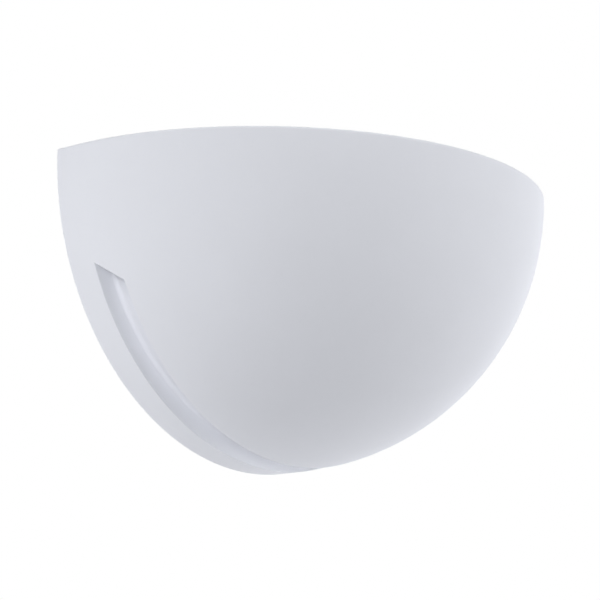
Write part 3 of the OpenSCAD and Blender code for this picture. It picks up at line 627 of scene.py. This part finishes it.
class SCONCE_OT_finishes(bpy.types.Operator):
    """Builds the shared node groups and every finish"""

    bl_idname = "sconce.finishes"
    bl_label = "Finishes"

    def execute(self, context):
        chosen = context.scene.sconce_finish
        for build in (build_mottling, build_grain, build_pores, build_wear):
            build()
        for material in list(bpy.data.materials):
            material.name = "packed " + material.name
        make_finish("plaster", chosen.plaster, chosen.plaster_tint, 14, (0.86, 0.97), 1500,
                    0.00006, pores=(700, 0.22, 0.16), waves=70, wave_share=1.4,
                    Specular_IOR_Level=0.25)
        make_finish("bracket_paint", chosen.paint, (0.80, 0.80, 0.80), 25, (0.38, 0.52), 1100,
                    0.00009, waves=300, Specular_IOR_Level=0.5)
        make_finish("zinc_steel", (0.62, 0.63, 0.66), (0.52, 0.54, 0.60), 60, (0.22, 0.42), 2500,
                    0.00001, metallic=1.0, stretch=(1, 1, 0.15))
        make_finish("brass", (0.72, 0.52, 0.22), (0.60, 0.42, 0.17), 80, (0.20, 0.38), 3000,
                    0.00001, metallic=1.0, stretch=(0.15, 1, 1))
        make_finish("nickel", (0.70, 0.68, 0.62), (0.60, 0.58, 0.53), 70, (0.16, 0.32), 3000,
                    0.000008, metallic=1.0, stretch=(1, 0.2, 1))
        make_finish("porcelain", chosen.porcelain, (0.84, 0.82, 0.77), 30, (0.10, 0.20), 900,
                    0.00002, waves=120, Coat_Weight=0.6, Coat_Roughness=0.05)
        make_finish("lamp_housing", (0.85, 0.85, 0.84), (0.81, 0.81, 0.80), 40, (0.42, 0.52), 2600,
                    0.00003, waves=200)
        make_finish("opal_plastic", chosen.opal, (0.87, 0.87, 0.845), 25, (0.26, 0.34), 1800,
                    0.00001, waves=80, Subsurface_Weight=0.25, Subsurface_Scale=0.004,
                    Subsurface_Radius=(1.0, 0.9, 0.8))
        make_finish("black_insulator", (0.018, 0.018, 0.02), (0.03, 0.03, 0.032), 90,
                    (0.18, 0.32), 2200, 0.00001)
        make_finish("board", (0.78, 0.78, 0.77), (0.70, 0.71, 0.70), 60, (0.35, 0.5), 2500,
                    0.00001)
        make_finish("black_rubber", (0.022, 0.022, 0.022), (0.045, 0.044, 0.043), 60,
                    (0.62, 0.82), 1500, 0.00005)
        make_finish("terminal_plastic", (0.80, 0.78, 0.70), (0.75, 0.73, 0.66), 50, (0.40, 0.55),
                    2000, 0.00003)
        for name, base, tint in (
                ("live_insulation", (0.14, 0.055, 0.025), (0.11, 0.042, 0.02)),
                ("neutral_insulation", (0.03, 0.13, 0.46), (0.025, 0.10, 0.39)),
                ("earth_insulation", (0.07, 0.34, 0.06), (0.055, 0.28, 0.05)),
                ("earth_stripe", (0.82, 0.66, 0.04), (0.76, 0.60, 0.035))):
            make_finish(name, base, tint, 90, (0.36, 0.50), 2200, 0.00002)
        for node, slot in SLOTS.items():
            keep_node(node, slot)
        return {"FINISHED"}


# Bowl ------------------------------------------------------------------------------------------


# The turn below the rim at which the rib inside starts, and how far from a channel's end the rows
# of faces are slid: towards the wall, towards the front and round the bowl.
RIB_START = 0.32
SLIDE_TO_WALL = 0.0178
SLIDE_TO_FRONT = 0.06
SLIDE_ROUND = math.radians(21)


class BowlShape:
    """Places on the bowl, measured about the line through the sphere's centre, square to the wall.

    A place has a radius from that line, a turn below the rim (0 at the right, half a circle at
    the left) and its distance y from the wall.
    """

    def __init__(self, size):
        self.size = size
        self.rim_z = BOWL_HIGH.z
        self.ball_z = self.rim_z - size.rim_round
        self.inner = size.radius - size.wall
        self.floor = size.radius - size.channel_depth
        self.rib = self.floor - size.rib
        self.channel = (-size.channel_offset - size.channel_width, -size.channel_offset)
        self.rib_y = (self.channel[0] - size.rib_side, self.channel[1] + size.rib_side)
        self.end_z = self.rim_z - size.end_drop
        self.end_x = math.sqrt(size.radius ** 2 - (self.ball_z - self.end_z) ** 2)
        self.row = math.pi / size.rows
        rows = round(self.crossing(size.radius, self.channel[1]) / self.row + 1)
        self.end_turn = rows * self.row
        self.rib_turn = round(RIB_START / self.row) * self.row

    def place(self, radius, turn, y):
        """Point at a radius, a turn and a distance from the wall."""
        return Vector((radius * math.cos(turn), y, self.ball_z - radius * math.sin(turn)))

    def measure(self, point):
        """Radius and turn of a point."""
        drop = self.ball_z - point.z
        return math.hypot(point.x, drop), math.atan2(drop, point.x)

    def crossing(self, radius, y):
        """Turn at which the channel's end plane crosses the circle of that radius at y."""
        size = self.size
        across = math.cos(size.end_slope) * math.sin(size.end_draft)
        forward = -math.sin(size.end_slope)
        upward = math.cos(size.end_slope) * math.cos(size.end_draft)
        low, high = 0.1, 1.2
        for _ in range(40):
            turn = (low + high) / 2
            point = self.place(radius, turn, y)
            above = (across * (self.end_x - point.x) + forward * (y + size.channel_offset)
                     + upward * (point.z - self.end_z))
            low, high = (turn, high) if above > 0 else (low, turn)
        return (low + high) / 2

    def slide(self, point):
        """Moves a row near a channel's end so that the end's edge lies along one row."""
        radius, turn = self.measure(point)
        y = min(max(point.y, self.channel[0]), self.channel[1])
        away = abs(point.y - y) / (SLIDE_TO_WALL if point.y > y else SLIDE_TO_FRONT)
        side = min(turn, math.pi - turn)
        shift = self.crossing(radius if away == 0 else self.size.radius, y) - self.end_turn
        near = max(0.0, 1 - abs(side - self.end_turn) / SLIDE_ROUND)
        side += shift * near * near * (3 - 2 * near) * max(0.0, 1 - away) ** 2
        return self.place(radius, side if turn < math.pi / 2 else math.pi - side, point.y)


def draw_bowl_section(shape):
    """The bowl's section in the rim's plane: outer and inner quarter circles and the back edge."""
    size = shape.size
    bpy.ops.object.select_all(action="DESELECT")
    circle = {"vertices": 2 * size.rows, "location": (0, -size.band, shape.ball_z)}
    bpy.ops.mesh.primitive_circle_add(radius=size.radius, **circle)
    piece = bpy.context.object
    piece.name = piece.data.name = "plaster_bowl"
    bpy.ops.object.transform_apply(location=True, rotation=True, scale=True)
    bpy.ops.object.mode_set(mode="EDIT")
    bpy.ops.mesh.primitive_circle_add(radius=shape.inner, **circle)
    pick(piece, lambda v: v.co.y > -size.band + NEAR or v.co.x < -NEAR, "VERT")
    bpy.ops.mesh.delete(type="VERT")
    for radius, y in ((size.radius, shape.channel[1]), (size.radius, shape.channel[0]),
                      (shape.inner, shape.rib_y[0])):
        at = Vector((math.sqrt(radius ** 2 - (size.band + y) ** 2), y, shape.ball_z))
        pick(piece, lambda v: (v.co - at).length < radius * shape.row * 0.55
             and abs(math.hypot(v.co.x, v.co.y + size.band) - radius) < NEAR, "VERT")
        place_picked(piece, lambda co: at)
    for radius, y in ((size.radius, shape.channel[1]), (shape.inner, -size.band)):
        pick(piece, lambda v: abs(v.co.x - radius) < 10 * NEAR and abs(v.co.y - y) < NEAR, "VERT")
        for target in (shape.rib_y[1], 0.0):
            step = (0, target - y, 0)
            bpy.ops.mesh.extrude_vertices_move(TRANSFORM_OT_translate={"value": step})
            y = target
    pick(piece, lambda v: abs(v.co.y) < NEAR, "VERT")
    bpy.ops.mesh.edge_face_add()
    return piece


def sink(piece, test, radius, shape):
    """Extrudes the faces that pass a test, and brings them to a radius."""
    pick(piece, test)
    bpy.ops.mesh.extrude_region_move()
    place_picked(piece, lambda co: shape.place(radius, shape.measure(co)[1], co.y))


def shape_bowl(shape):
    """The bowl's shell, with its rim, the channel round its back and the rib inside."""
    size = shape.size
    centre = Vector((0, -size.band, shape.ball_z))
    outside, inside = size.radius - 0.004, shape.inner + 0.001
    below_rim, before_pole, off_wall = shape.ball_z - 0.01, -0.12, -0.004
    piece = draw_bowl_section(shape)
    spin_all(size.rows, math.pi, (0, 0, shape.ball_z), (0, -1, 0))
    pick_all()
    bpy.ops.mesh.remove_doubles(threshold=SAME_PLACE)

    pick(piece, lambda e: len(e.link_faces) == 1, "EDGE")
    bpy.ops.mesh.extrude_edges_move(TRANSFORM_OT_translate={"value": (0, 0, size.rim_round)})
    pick(piece, lambda e: len(e.link_faces) == 1 and middle(e).y < -NEAR, "EDGE")
    bpy.ops.mesh.bridge_edge_loops()
    pick_all()
    bpy.ops.mesh.normals_make_consistent(inside=False)

    def in_strip(face, limits, turn, least, most):
        """Whether a face lies between two planes, below a turn and between two radii."""
        at = face.calc_center_median()
        radius, side = shape.measure(at)
        return (limits[0] < at.y < limits[1] and turn < side < math.pi - turn
                and least < radius < most)

    sink(piece, lambda f: in_strip(f, shape.channel, shape.end_turn, outside, 1),
         shape.floor, shape)
    sink(piece, lambda f: in_strip(f, shape.rib_y, shape.rib_turn, 0, inside)
         and f.normal.dot(f.calc_center_median() - Vector((0, 0, shape.ball_z))) < 0,
         shape.rib, shape)
    pick(piece, lambda v: shape.measure(v.co)[0] > shape.floor - NEAR
         and before_pole < v.co.y < -NEAR and v.co.z < shape.ball_z - NEAR
         and (v.co - centre).length > shape.floor - NEAR, "VERT")
    place_picked(piece, shape.slide)

    round_edges(piece, lambda e: sharp(e) and middle(e).z > shape.rim_z - NEAR
                and middle(e).y < -NEAR, size.rim_round * 0.96, 5)
    round_edges(piece, lambda e: sharp(e, 25) and e.is_convex
                and shape.channel[0] - NEAR < middle(e).y < shape.channel[1] + NEAR
                and shape.measure(middle(e))[0] > shape.floor - 0.0005
                and middle(e).z < below_rim, size.edge_round, 3)
    round_edges(piece, lambda e: sharp(e, 25) and shape.measure(middle(e))[0] < shape.inner + NEAR
                and middle(e).y < off_wall and middle(e).z < below_rim, size.inside_round, 4)
    round_edges(piece, lambda e: sharp(e, 60) and middle(e).y > -NEAR, size.back_round, 2)
    return piece


def shape_lug(shape, side):
    """One lug inside the bowl, which a hanger's foot stands on, with its two insert holes."""
    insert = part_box("hanger_inserts")[1]
    hole, hole_depth, hole_y, hole_step = 0.0035, 0.012, -0.018, 0.0075
    top, inner, drop = insert.z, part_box("right_hanger")[1].x - 0.0184, 0.026
    front, behind_channel, back = -0.0445, -0.0165, -0.004
    in_wall, under_floor, clear = 0.145, 0.1415, 0.0005
    points = [(inner, top), (math.sqrt(in_wall ** 2 - (shape.ball_z - top) ** 2), top)]
    for radius, turns in ((in_wall, (16, 20, 22.5)), (under_floor, (24.5, 28.5, 31.5))):
        for turn in turns:
            spot = shape.place(radius, math.radians(turn), 0)
            points.append((spot.x, spot.z))
    points.append((inner, top - drop))

    def under_channel(co):
        """Keeps the lug's outside clear of the channel's floor."""
        radius, turn = shape.measure(co)
        steep = abs(radius - under_floor) < 0.001
        return shape.place(shape.floor - clear, turn, co.y) if steep else co

    piece = begin("lug")
    trace([(x * side, back, z) for x, z in points], closed=True)
    pick_all()
    bpy.ops.mesh.edge_face_add()
    at = back
    for y in (behind_channel, behind_channel - 0.0005, front):
        bpy.ops.mesh.extrude_region_move(TRANSFORM_OT_translate={"value": (0, y - at, 0)})
        at = y
        if y < behind_channel:
            place_picked(piece, under_channel)
    close_up()
    round_edges(piece, lambda e: sharp(e) and abs(middle(e).x) < inner + 0.013, 0.0018, 4)
    bpy.ops.object.mode_set(mode="OBJECT")
    for number in (-1, 1):
        bpy.ops.object.select_all(action="DESELECT")
        bpy.ops.mesh.primitive_cylinder_add(
            vertices=48, radius=hole, depth=hole_depth,
            location=(side * (insert.x - hole), hole_y + number * hole_step, top - 0.004))
        drill = bpy.context.object
        apply_modifier(piece, "BOOLEAN", object=drill, operation="DIFFERENCE", solver="EXACT")
        only(drill)
        bpy.ops.object.delete()
    return piece


class SCONCE_OT_bowl(bpy.types.Operator):
    """Models the plaster bowl with its rim, channel, rib and lugs"""

    bl_idname = "sconce.bowl"
    bl_label = "Plaster bowl"

    def execute(self, context):
        shape = BowlShape(context.scene.sconce_bowl)
        piece = shape_bowl(shape)
        close_up()
        bpy.ops.object.mode_set(mode="OBJECT")
        join(piece, [shape_lug(shape, side) for side in (-1, 1)])
        piece.data.materials.clear()
        complete(piece, "bowl", "plaster", "bowl_shell", smooth=40)
        return {"FINISHED"}


# Metalwork -------------------------------------------------------------------------------------


SOFTENED = {
    "bracket": ("bracket", (("wall_bracket", 0.35), ("hanging_studs", 0.25))),
    "hangers": ("bowl", (("left_hanger", 0.35), ("right_hanger", 0.35), ("hanger_screws", 0.15),
                         ("hanger_inserts", 0.2))),
    "arm": ("bracket", (("lampholder_arm", 0.35), ("arm_nuts", 0.25), ("nipple_nut", 0.3))),
    "terminals": ("bracket", (("terminal_block", 0.35), ("terminal_screws", 0.12),
                              ("block_screws", 0.12), ("cable_grommet", 0.3),
                              ("earth_tag", 0.12), ("earth_nut", 0.25))),
    "inside_holder": ("bracket", (("contact_block", 0.3), ("holder_terminal_screws", 0.12),
                                  ("centre_contact", 0.1))),
}


THUMB_SHANK = 0.0095
MACHINE_SHANK = 0.0075
MACHINE_HEAD = 0.004
NIPPLE_BORE = 0.0037
NIPPLE_PITCH = 0.001
NIPPLE_DEPTH = 0.0004


def soften_group(name):
    """Makes the rounded-edge pieces of a group of CAD nodes."""
    body, members = SOFTENED[name]
    for node, width in members:
        complete(softened(node, width * MM), body, SLOTS[node], node)


class SCONCE_OT_bracket(bpy.types.Operator):
    """Rounds the edges of the wall bracket and its studs"""

    bl_idname = "sconce.bracket"
    bl_label = "Wall bracket"

    def execute(self, context):
        soften_group("bracket")
        return {"FINISHED"}


class SCONCE_OT_hangers(bpy.types.Operator):
    """Rounds the edges of the two hangers and their screws"""

    bl_idname = "sconce.hangers"
    bl_label = "Hangers"

    def execute(self, context):
        soften_group("hangers")
        return {"FINISHED"}


class SCONCE_OT_thumb_screws(bpy.types.Operator):
    """Rounds the edges of the two thumb screws and cuts their threads"""

    bl_idname = "sconce.thumb_screws"
    bl_label = "Thumb screws"

    def execute(self, context):
        low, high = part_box("right_thumb_screw")
        y, z = (low.y + high.y) / 2, (low.z + high.z) / 2
        for side, way in (("left", -1), ("right", 1)):
            threaded_screws(side + "_thumb_screw", side + "_lock", "nickel",
                            [(way * (low.x + THUMB_SHANK), y, z)], (-way, 0, 0), THUMB_SHANK)
        return {"FINISHED"}


class SCONCE_OT_arm(bpy.types.Operator):
    """Rounds the edges of the lampholder's arm and its fixings, and turns the nipple"""

    bl_idname = "sconce.arm"
    bl_label = "Lampholder arm"

    def execute(self, context):
        soften_group("arm")
        low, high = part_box("arm_screws")
        x, y = (low.x + high.x) / 2, high.y - MACHINE_SHANK
        threaded_screws("arm_screws", "bracket", "zinc_steel",
                        [(x, y, low.z + MACHINE_HEAD), (x, y, high.z - MACHINE_HEAD)],
                        (0, 1, 0), MACHINE_SHANK)
        low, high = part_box("nipple")
        start, stop = low.x - SEAT_X, high.x - SEAT_X
        root = (high.y - low.y) / 2 - NIPPLE_DEPTH
        bore, mouth = NIPPLE_BORE, NIPPLE_BORE + 0.0002
        count = 72
        line = [(start + (stop - start) * number / count, root) for number in range(count + 1)]
        line += [(stop, mouth), (stop - 0.0003, bore), (start + 0.0003, bore), (start, mouth)]
        nipple = turned("nipple_piece", line, context.scene.sconce_lamp.steps)
        cut_thread(nipple, start, stop, root - 0.0001, NIPPLE_PITCH, NIPPLE_DEPTH)
        complete(nipple, "bracket", "brass", "nipple", smooth=60)
        return {"FINISHED"}


class SCONCE_OT_terminals(bpy.types.Operator):
    """Rounds the edges of the terminal block, the grommet and the earth terminal"""

    bl_idname = "sconce.terminals"
    bl_label = "Terminals"

    def execute(self, context):
        soften_group("terminals")
        low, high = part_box("earth_screw")
        place = ((low.x + high.x) / 2, high.y - MACHINE_SHANK, (low.z + high.z) / 2)
        threaded_screws("earth_screw", "bracket", "brass", [place], (0, 1, 0), MACHINE_SHANK)
        return {"FINISHED"}


# Lampholder and lamp ---------------------------------------------------------------------------


class SCONCE_OT_lampholder(bpy.types.Operator):
    """Turns the porcelain cap and skirt and rounds the pieces inside them"""

    bl_idname = "sconce.lampholder"
    bl_label = "Lampholder"

    def execute(self, context):
        size = context.scene.sconce_lamp
        r = size.holder
        groove, spigot, bore, socket = r - 0.0005, r - 0.0015, r - 0.0029, r - 0.00145
        seat, hole, mouth, lap = 0.0146, 0.00505, 0.0149, 0.006
        cap_l = CAP_HIGH.x - CAP_LOW.x - lap
        cap = turned("holder_cap_piece", rounded([
            (0, hole, 0.0003), (0, r, 0.004), (0.0135, r, 0.0003), (0.0139, groove, 0.0003),
            (0.0151, groove, 0.0003), (0.0155, r, 0.0003), (cap_l, r, 0.0006),
            (cap_l, spigot, 0.0003), (cap_l + lap, spigot, 0.0004), (cap_l + lap, bore, 0.0003),
            (0.012, bore, 0.0004), (0.012, seat, 0.0004), (0.004, seat, 0.001),
            (0.004, hole, 0.0003),
        ], closed=True), size.steps)
        complete(cap, "bracket", "porcelain", "holder_cap")
        start, stop = SKIRT_LOW.x - SEAT_X, SKIRT_HIGH.x - SEAT_X
        grooves = []
        for u in (start + 0.006, start + 0.0085, start + 0.011):
            grooves += [(u, r, 0.0003), (u + 0.0003, groove, 0.0002),
                        (u + 0.0011, groove, 0.0002), (u + 0.0014, r, 0.0003)]
        skirt = turned("holder_skirt_piece", rounded([
            (start, socket, 0.0002), (start, r, 0.0006), *grooves, (stop, r, 0.002),
            (stop, mouth, 0.001), (start + lap, mouth, 0.0004), (start + lap, socket, 0.0003),
        ], closed=True), size.steps)
        complete(skirt, "bracket", "porcelain", "holder_skirt")
        soften_group("inside_holder")
        return {"FINISHED"}


class SCONCE_OT_lamp(bpy.types.Operator):
    """Turns the lamp's screw cap, body and opal globe"""

    bl_idname = "sconce.lamp"
    bl_label = "Lamp"

    def execute(self, context):
        size = context.scene.sconce_lamp
        cap_start, cap_stop = SCREW_CAP_LOW.x - SEAT_X, SCREW_CAP_HIGH.x - SEAT_X
        outer = (SCREW_CAP_HIGH.y - SCREW_CAP_LOW.y) / 2
        root = outer - size.thread_depth
        line = [(cap_start, 0.0096), (cap_start + 0.0004, root - 0.0012),
                (cap_start + 0.0012, root - 0.0002), (cap_start + 0.002, root)]
        u = cap_start + 0.002
        while u < cap_stop - 0.0034:
            u += 0.0003
            line.append((u, root))
        line += [(cap_stop - 0.003, outer - 0.0002), (cap_stop - 0.0026, outer),
                 (cap_stop - 0.0003, outer), (cap_stop, outer - 0.0003), (cap_stop, 0.0112),
                 (cap_start + 0.0012, 0.0104), (cap_start + 0.0012, 0.0096)]
        cap = turned("lamp_screw_cap_piece", line, size.steps)
        cut_thread(cap, cap_start + 0.0012, cap_stop - 0.0032, 0.0118, size.thread,
                   size.thread_depth)
        close_up()
        complete(cap, "lamp", "nickel", "lamp_screw_cap", smooth=50)

        lip, lip_r = BODY_HIGH.x - SEAT_X, (BODY_HIGH.y - BODY_LOW.y) / 2
        neck = 0.0106
        body = turned("lamp_body_piece", rounded([
            (cap_stop - 0.006, 0, 0), (cap_stop - 0.006, neck, 0.0005), (cap_stop, neck, 0.0002),
            (cap_stop, outer + 0.0004, 0.0002), (cap_stop + 0.003, outer + 0.0015, 0.002),
            (cap_stop + 0.012, outer + 0.0032, 0.03), (lip - 0.010, lip_r - 0.0022, 0.03),
            (lip - 0.0012, lip_r, 0.002), (lip, lip_r, 0.0003), (lip, 0, 0),
        ], steps=7), size.steps, closed=False)
        complete(body, "lamp", "lamp_housing", "lamp_body", smooth=50)

        centre = GLOBE_HIGH.x - SEAT_X - size.globe
        line = []
        for radius, count in ((size.globe, 40), (size.globe - 0.0015, 24)):
            edge = math.acos((lip - centre) / radius)
            arc = [(centre + radius * math.cos(edge * number / count),
                    radius * math.sin(edge * number / count)) for number in range(count + 1)]
            line += arc if line else reversed(arc)
        line.append(line[0])
        globe = turned("lamp_globe_piece", line, size.steps, closed=False)
        complete(globe, "lamp", "opal_plastic", "lamp_globe", smooth=50)
        return {"FINISHED"}


# Wiring ----------------------------------------------------------------------------------------


WIRE_SIDES = 12
ROUTES = {
    "earth_wire": [
        (25, -13.5, -3), (25, -13.5, -8), (24.4, -13.2, -10.6), (22, -12.2, -12.6),
        (18.5, -11.2, -13), (14, -10.6, -13), (10, -10.6, -13)],
    "neutral_wire": [
        (36, -13.5, -3), (36, -13.5, -9), (35.4, -13.3, -14), (33, -12.8, -17.6),
        (28, -12.3, -19), (10.8, -12, -19), (-6.4, -12, -19), (-23.6, -12, -19),
        (-40.8, -12, -19), (-58, -13.2, -19), (-64, -16, -18.6), (-67, -22, -17.6),
        (-68, -32, -14), (-69, -44, -7), (-72, -56, -1), (-75, -62, 1.6), (-76, -67, 3),
        (-73.5, -70, 3.4), (-69, -70.2, 3.4), (-63, -70, 3.4), (-57, -70, 3.4),
        (-54.8, -69.4, 3.6), (-52.8, -67.5, 4.2), (-51.2, -65.7, 4.8), (-49.4, -65, 5),
        (-43.5, -65, 5)],
    "live_wire": [
        (47, -13.5, -3), (47, -13.5, -10), (46.4, -13.4, -16), (44, -13, -20.4),
        (38, -12.4, -22.4), (18.8, -12, -22.6), (-0.4, -12, -22.6), (-19.6, -12, -22.6),
        (-38.8, -12, -22.6), (-58, -13.6, -22.4), (-66, -17.4, -21.6), (-70.6, -24, -20),
        (-72.6, -34, -15), (-75, -46, -7), (-78, -56, 0), (-80, -64, 4.6),
        (-79.5, -69.2, 6.4), (-75, -70.6, 6.8), (-69, -70.2, 6.6), (-63, -70, 6.6),
        (-57, -70, 6.6), (-54.8, -70.6, 6.4), (-52.8, -72.5, 5.8), (-51.2, -74.3, 5.2),
        (-49.4, -75, 5), (-43.5, -75, 5)],
}


def smooth_route(route, steps=6):
    """A smooth run of points through a route."""
    count = len(route) - 1
    corners = [Vector(point) * MM for point in route]
    run = []
    for number in range(count):
        a = corners[max(number - 1, 0)]
        b = corners[number]
        c = corners[number + 1]
        d = corners[min(number + 2, count)]
        for step in range(steps):
            t = step / steps
            run.append(0.5 * (2 * b + (c - a) * t + (2 * a - 5 * b + 4 * c - d) * t * t
                              + (3 * b - a - 3 * c + d) * t * t * t))
    run.append(corners[-1])
    return run


class SCONCE_OT_wires(bpy.types.Operator):
    """Runs the three insulated wires along their routes"""

    bl_idname = "sconce.wires"
    bl_label = "Wires"

    def execute(self, context):
        size = context.scene.sconce_wire
        for node, route in ROUTES.items():
            begin(node + "_piece")
            trace(smooth_route(route))
            bpy.ops.object.mode_set(mode="OBJECT")
            only(bpy.context.object)
            bpy.ops.object.convert(target="CURVE")
            line = bpy.context.object.data
            line.bevel_depth = size.diameter / 2
            line.bevel_resolution = WIRE_SIDES // 2 - 2
            line.use_fill_caps = True
            bpy.ops.object.convert(target="MESH")
            piece = bpy.context.object
            piece.data.materials.clear()
            if node == "earth_wire":
                for finish in ("earth_insulation", "earth_stripe"):
                    piece.data.materials.append(bpy.data.materials[finish])
                for face in piece.data.polygons:
                    if face.index % WIRE_SIDES < WIRE_SIDES * size.stripe / math.tau:
                        face.material_index = 1
            bpy.ops.object.mode_set(mode="EDIT")
            close_up()
            complete(piece, "bracket", SLOTS[node], node, smooth=60)
        return {"FINISHED"}


# Stage -----------------------------------------------------------------------------------------


CAMERA_PLACE = (-0.964283, -0.880226, -0.285207)
CAMERA_AZIMUTH = -48.84286
CAMERA_ELEVATION = -12.25490
CAMERA_ROLL = 0.91682
# Each light's name, azimuth, elevation, width and power.
LIGHTS = (
    ("right light", 60, -10, 0.9, 10.5),
    ("far right light", 90, -10, 0.9, 1.5),
    ("high front light", 30, 40, 0.9, 6.8),
    ("low front light", 45, -35, 0.9, 0.8),
    ("low back light", 165, -35, 0.9, 4.0),
    ("low right back light", 135, -35, 0.9, 2.9),
    ("left back light", 210, -10, 0.9, 6.9),
    ("left light", 294, 0, 0.3, 7.0),
    ("high left light", 282, 20, 0.3, 3.1),
    ("top light", 0, 88, 0.9, 5.0),
)
LIGHT_CENTRE = Vector((0, -0.08, -0.02))
LIGHT_DISTANCE = 1.4
LIGHT_COLOUR = (0.963, 0.971, 1.0)


def towards(azimuth, elevation):
    """Direction from the object at an azimuth and elevation in degrees, 0 being straight out."""
    a, e = math.radians(azimuth), math.radians(elevation)
    return Vector((math.sin(a) * math.cos(e), -math.cos(a) * math.cos(e), math.sin(e)))


def place_camera(lens):
    """The camera, at the photograph's viewing angle."""
    back = towards(CAMERA_AZIMUTH, CAMERA_ELEVATION)
    azimuth, roll = math.radians(CAMERA_AZIMUTH), math.radians(CAMERA_ROLL)
    level = Vector((math.cos(azimuth), math.sin(azimuth), 0))
    above = back.cross(level)
    right = level * math.cos(roll) + above * math.sin(roll)
    up = above * math.cos(roll) - level * math.sin(roll)
    stand = Matrix((right, up, back)).transposed()
    bpy.ops.object.camera_add(location=CAMERA_PLACE, rotation=stand.to_euler())
    camera = bpy.context.object
    camera.name = "camera"
    camera.data.lens = lens
    camera.data.sensor_width = 36
    camera.data.clip_start = 0.01
    bpy.context.scene.camera = camera


def lay_floor(size, height):
    """The plain floor, which glows a little for the camera so that it stays pale."""
    bpy.ops.mesh.primitive_grid_add(x_subdivisions=8, y_subdivisions=8, size=size,
                                    location=(0, 0, height))
    floor = bpy.context.object
    floor.name = "floor"
    bpy.ops.object.transform_apply(location=True, rotation=True, scale=True)
    paper = bpy.data.materials.new("floor")
    paper.use_nodes = True
    tree = paper.node_tree
    surface = tree.nodes["Principled BSDF"]
    surface.inputs["Base Color"].default_value = (0.86, 0.86, 0.87, 1)
    surface.inputs["Roughness"].default_value = 0.9
    surface.inputs["Specular IOR Level"].default_value = 0.1
    surface.inputs["Emission Color"].default_value = (0.86, 0.865, 0.88, 1)
    seen = add_node(tree, "LightPath", (-500, 0))
    glow = calculate(tree, (-250, 0), "MULTIPLY", seen.outputs["Is Camera Ray"], 0.75)
    tree.links.new(glow, surface.inputs["Emission Strength"])
    floor.data.materials.append(paper)


def build_studio(ambient, mirrored):
    """Soft light from all round, a brighter studio seen in metal, and white behind the object."""
    world = bpy.data.worlds.new("studio")
    bpy.context.scene.world = world
    world.use_nodes = True
    tree = world.node_tree
    tree.nodes.clear()

    def background(height, shade, strength):
        return add_node(tree, "Background", (-200, height),
                        {"Color": (*shade, 1.0), "Strength": strength}).outputs[0]

    path = add_node(tree, "LightPath", (-200, 400))
    lit = add_node(tree, "MixShader", (50, 100), {
        0: path.outputs["Is Glossy Ray"], 1: background(100, LIGHT_COLOUR, ambient),
        2: background(-50, LIGHT_COLOUR, mirrored)})
    seen = add_node(tree, "MixShader", (250, 100), {
        0: path.outputs["Is Camera Ray"], 1: lit.outputs[0],
        2: background(-200, (1.0, 1.0, 1.0), 1.0)})
    add_node(tree, "OutputWorld", (450, 100), {"Surface": seen.outputs[0]})


def hang_light(name, azimuth, elevation, width, power):
    """One round soft light that faces the sconce."""
    side = towards(azimuth, elevation)
    bpy.ops.object.light_add(type="AREA", location=LIGHT_CENTRE + side * LIGHT_DISTANCE,
                             rotation=side.to_track_quat("Z", "Y").to_euler())
    light = bpy.context.object
    light.name = name
    light.visible_camera = False
    light.data.shape = "DISK"
    light.data.size = width
    light.data.energy = power
    light.data.color = LIGHT_COLOUR


class SCONCE_OT_stage(bpy.types.Operator):
    """Sets up the camera, the floor and the soft lights"""

    bl_idname = "sconce.stage"
    bl_label = "Stage"

    def execute(self, context):
        size = context.scene.sconce_stage
        bpy.ops.object.select_all(action="DESELECT")
        context.scene.view_settings.view_transform = "Standard"
        place_camera(size.lens)
        lay_floor(size.floor_size, size.floor_z)
        build_studio(size.ambient, size.mirrored)
        for light in LIGHTS:
            hang_light(*light)
        return {"FINISHED"}


# Add-on ----------------------------------------------------------------------------------------


class SCONCE_PT_panel(bpy.types.Panel):
    """Lists the pieces of the sconce"""

    bl_idname = "SCONCE_PT_panel"
    bl_label = "Uplighter wall sconce"
    bl_space_type = "VIEW_3D"
    bl_region_type = "UI"
    bl_category = "Sconce"

    def draw(self, context):
        for name, group in SETTINGS:
            box = self.layout.box()
            for key in group.__annotations__:
                box.prop(getattr(context.scene, name), key)
        for operator in OPERATORS:
            self.layout.operator(operator.bl_idname)


SETTINGS = (
    ("sconce_bowl", BowlSizes),
    ("sconce_lamp", LampSizes),
    ("sconce_wire", WireSizes),
    ("sconce_finish", FinishSettings),
    ("sconce_stage", StageSettings),
)
OPERATORS = (
    SCONCE_OT_stage,
    SCONCE_OT_finishes,
    SCONCE_OT_bowl,
    SCONCE_OT_bracket,
    SCONCE_OT_hangers,
    SCONCE_OT_thumb_screws,
    SCONCE_OT_arm,
    SCONCE_OT_lampholder,
    SCONCE_OT_lamp,
    SCONCE_OT_terminals,
    SCONCE_OT_wires,
)


def register():
    """Registers the settings, the operators and the panel."""
    for name, group in SETTINGS:
        bpy.utils.register_class(group)
        setattr(bpy.types.Scene, name, PointerProperty(type=group))
    for operator in OPERATORS:
        bpy.utils.register_class(operator)
    bpy.utils.register_class(SCONCE_PT_panel)


def unregister():
    """Takes back all that register() registered."""
    bpy.utils.unregister_class(SCONCE_PT_panel)
    for operator in reversed(OPERATORS):
        bpy.utils.unregister_class(operator)
    for name, group in reversed(SETTINGS):
        delattr(bpy.types.Scene, name)
        bpy.utils.unregister_class(group)


def main():
    """Builds the whole scene."""
    register()
    for operator in OPERATORS:
        family, name = operator.bl_idname.split(".")
        getattr(getattr(bpy.ops, family), name)()


if __name__ == "__main__":
    main()
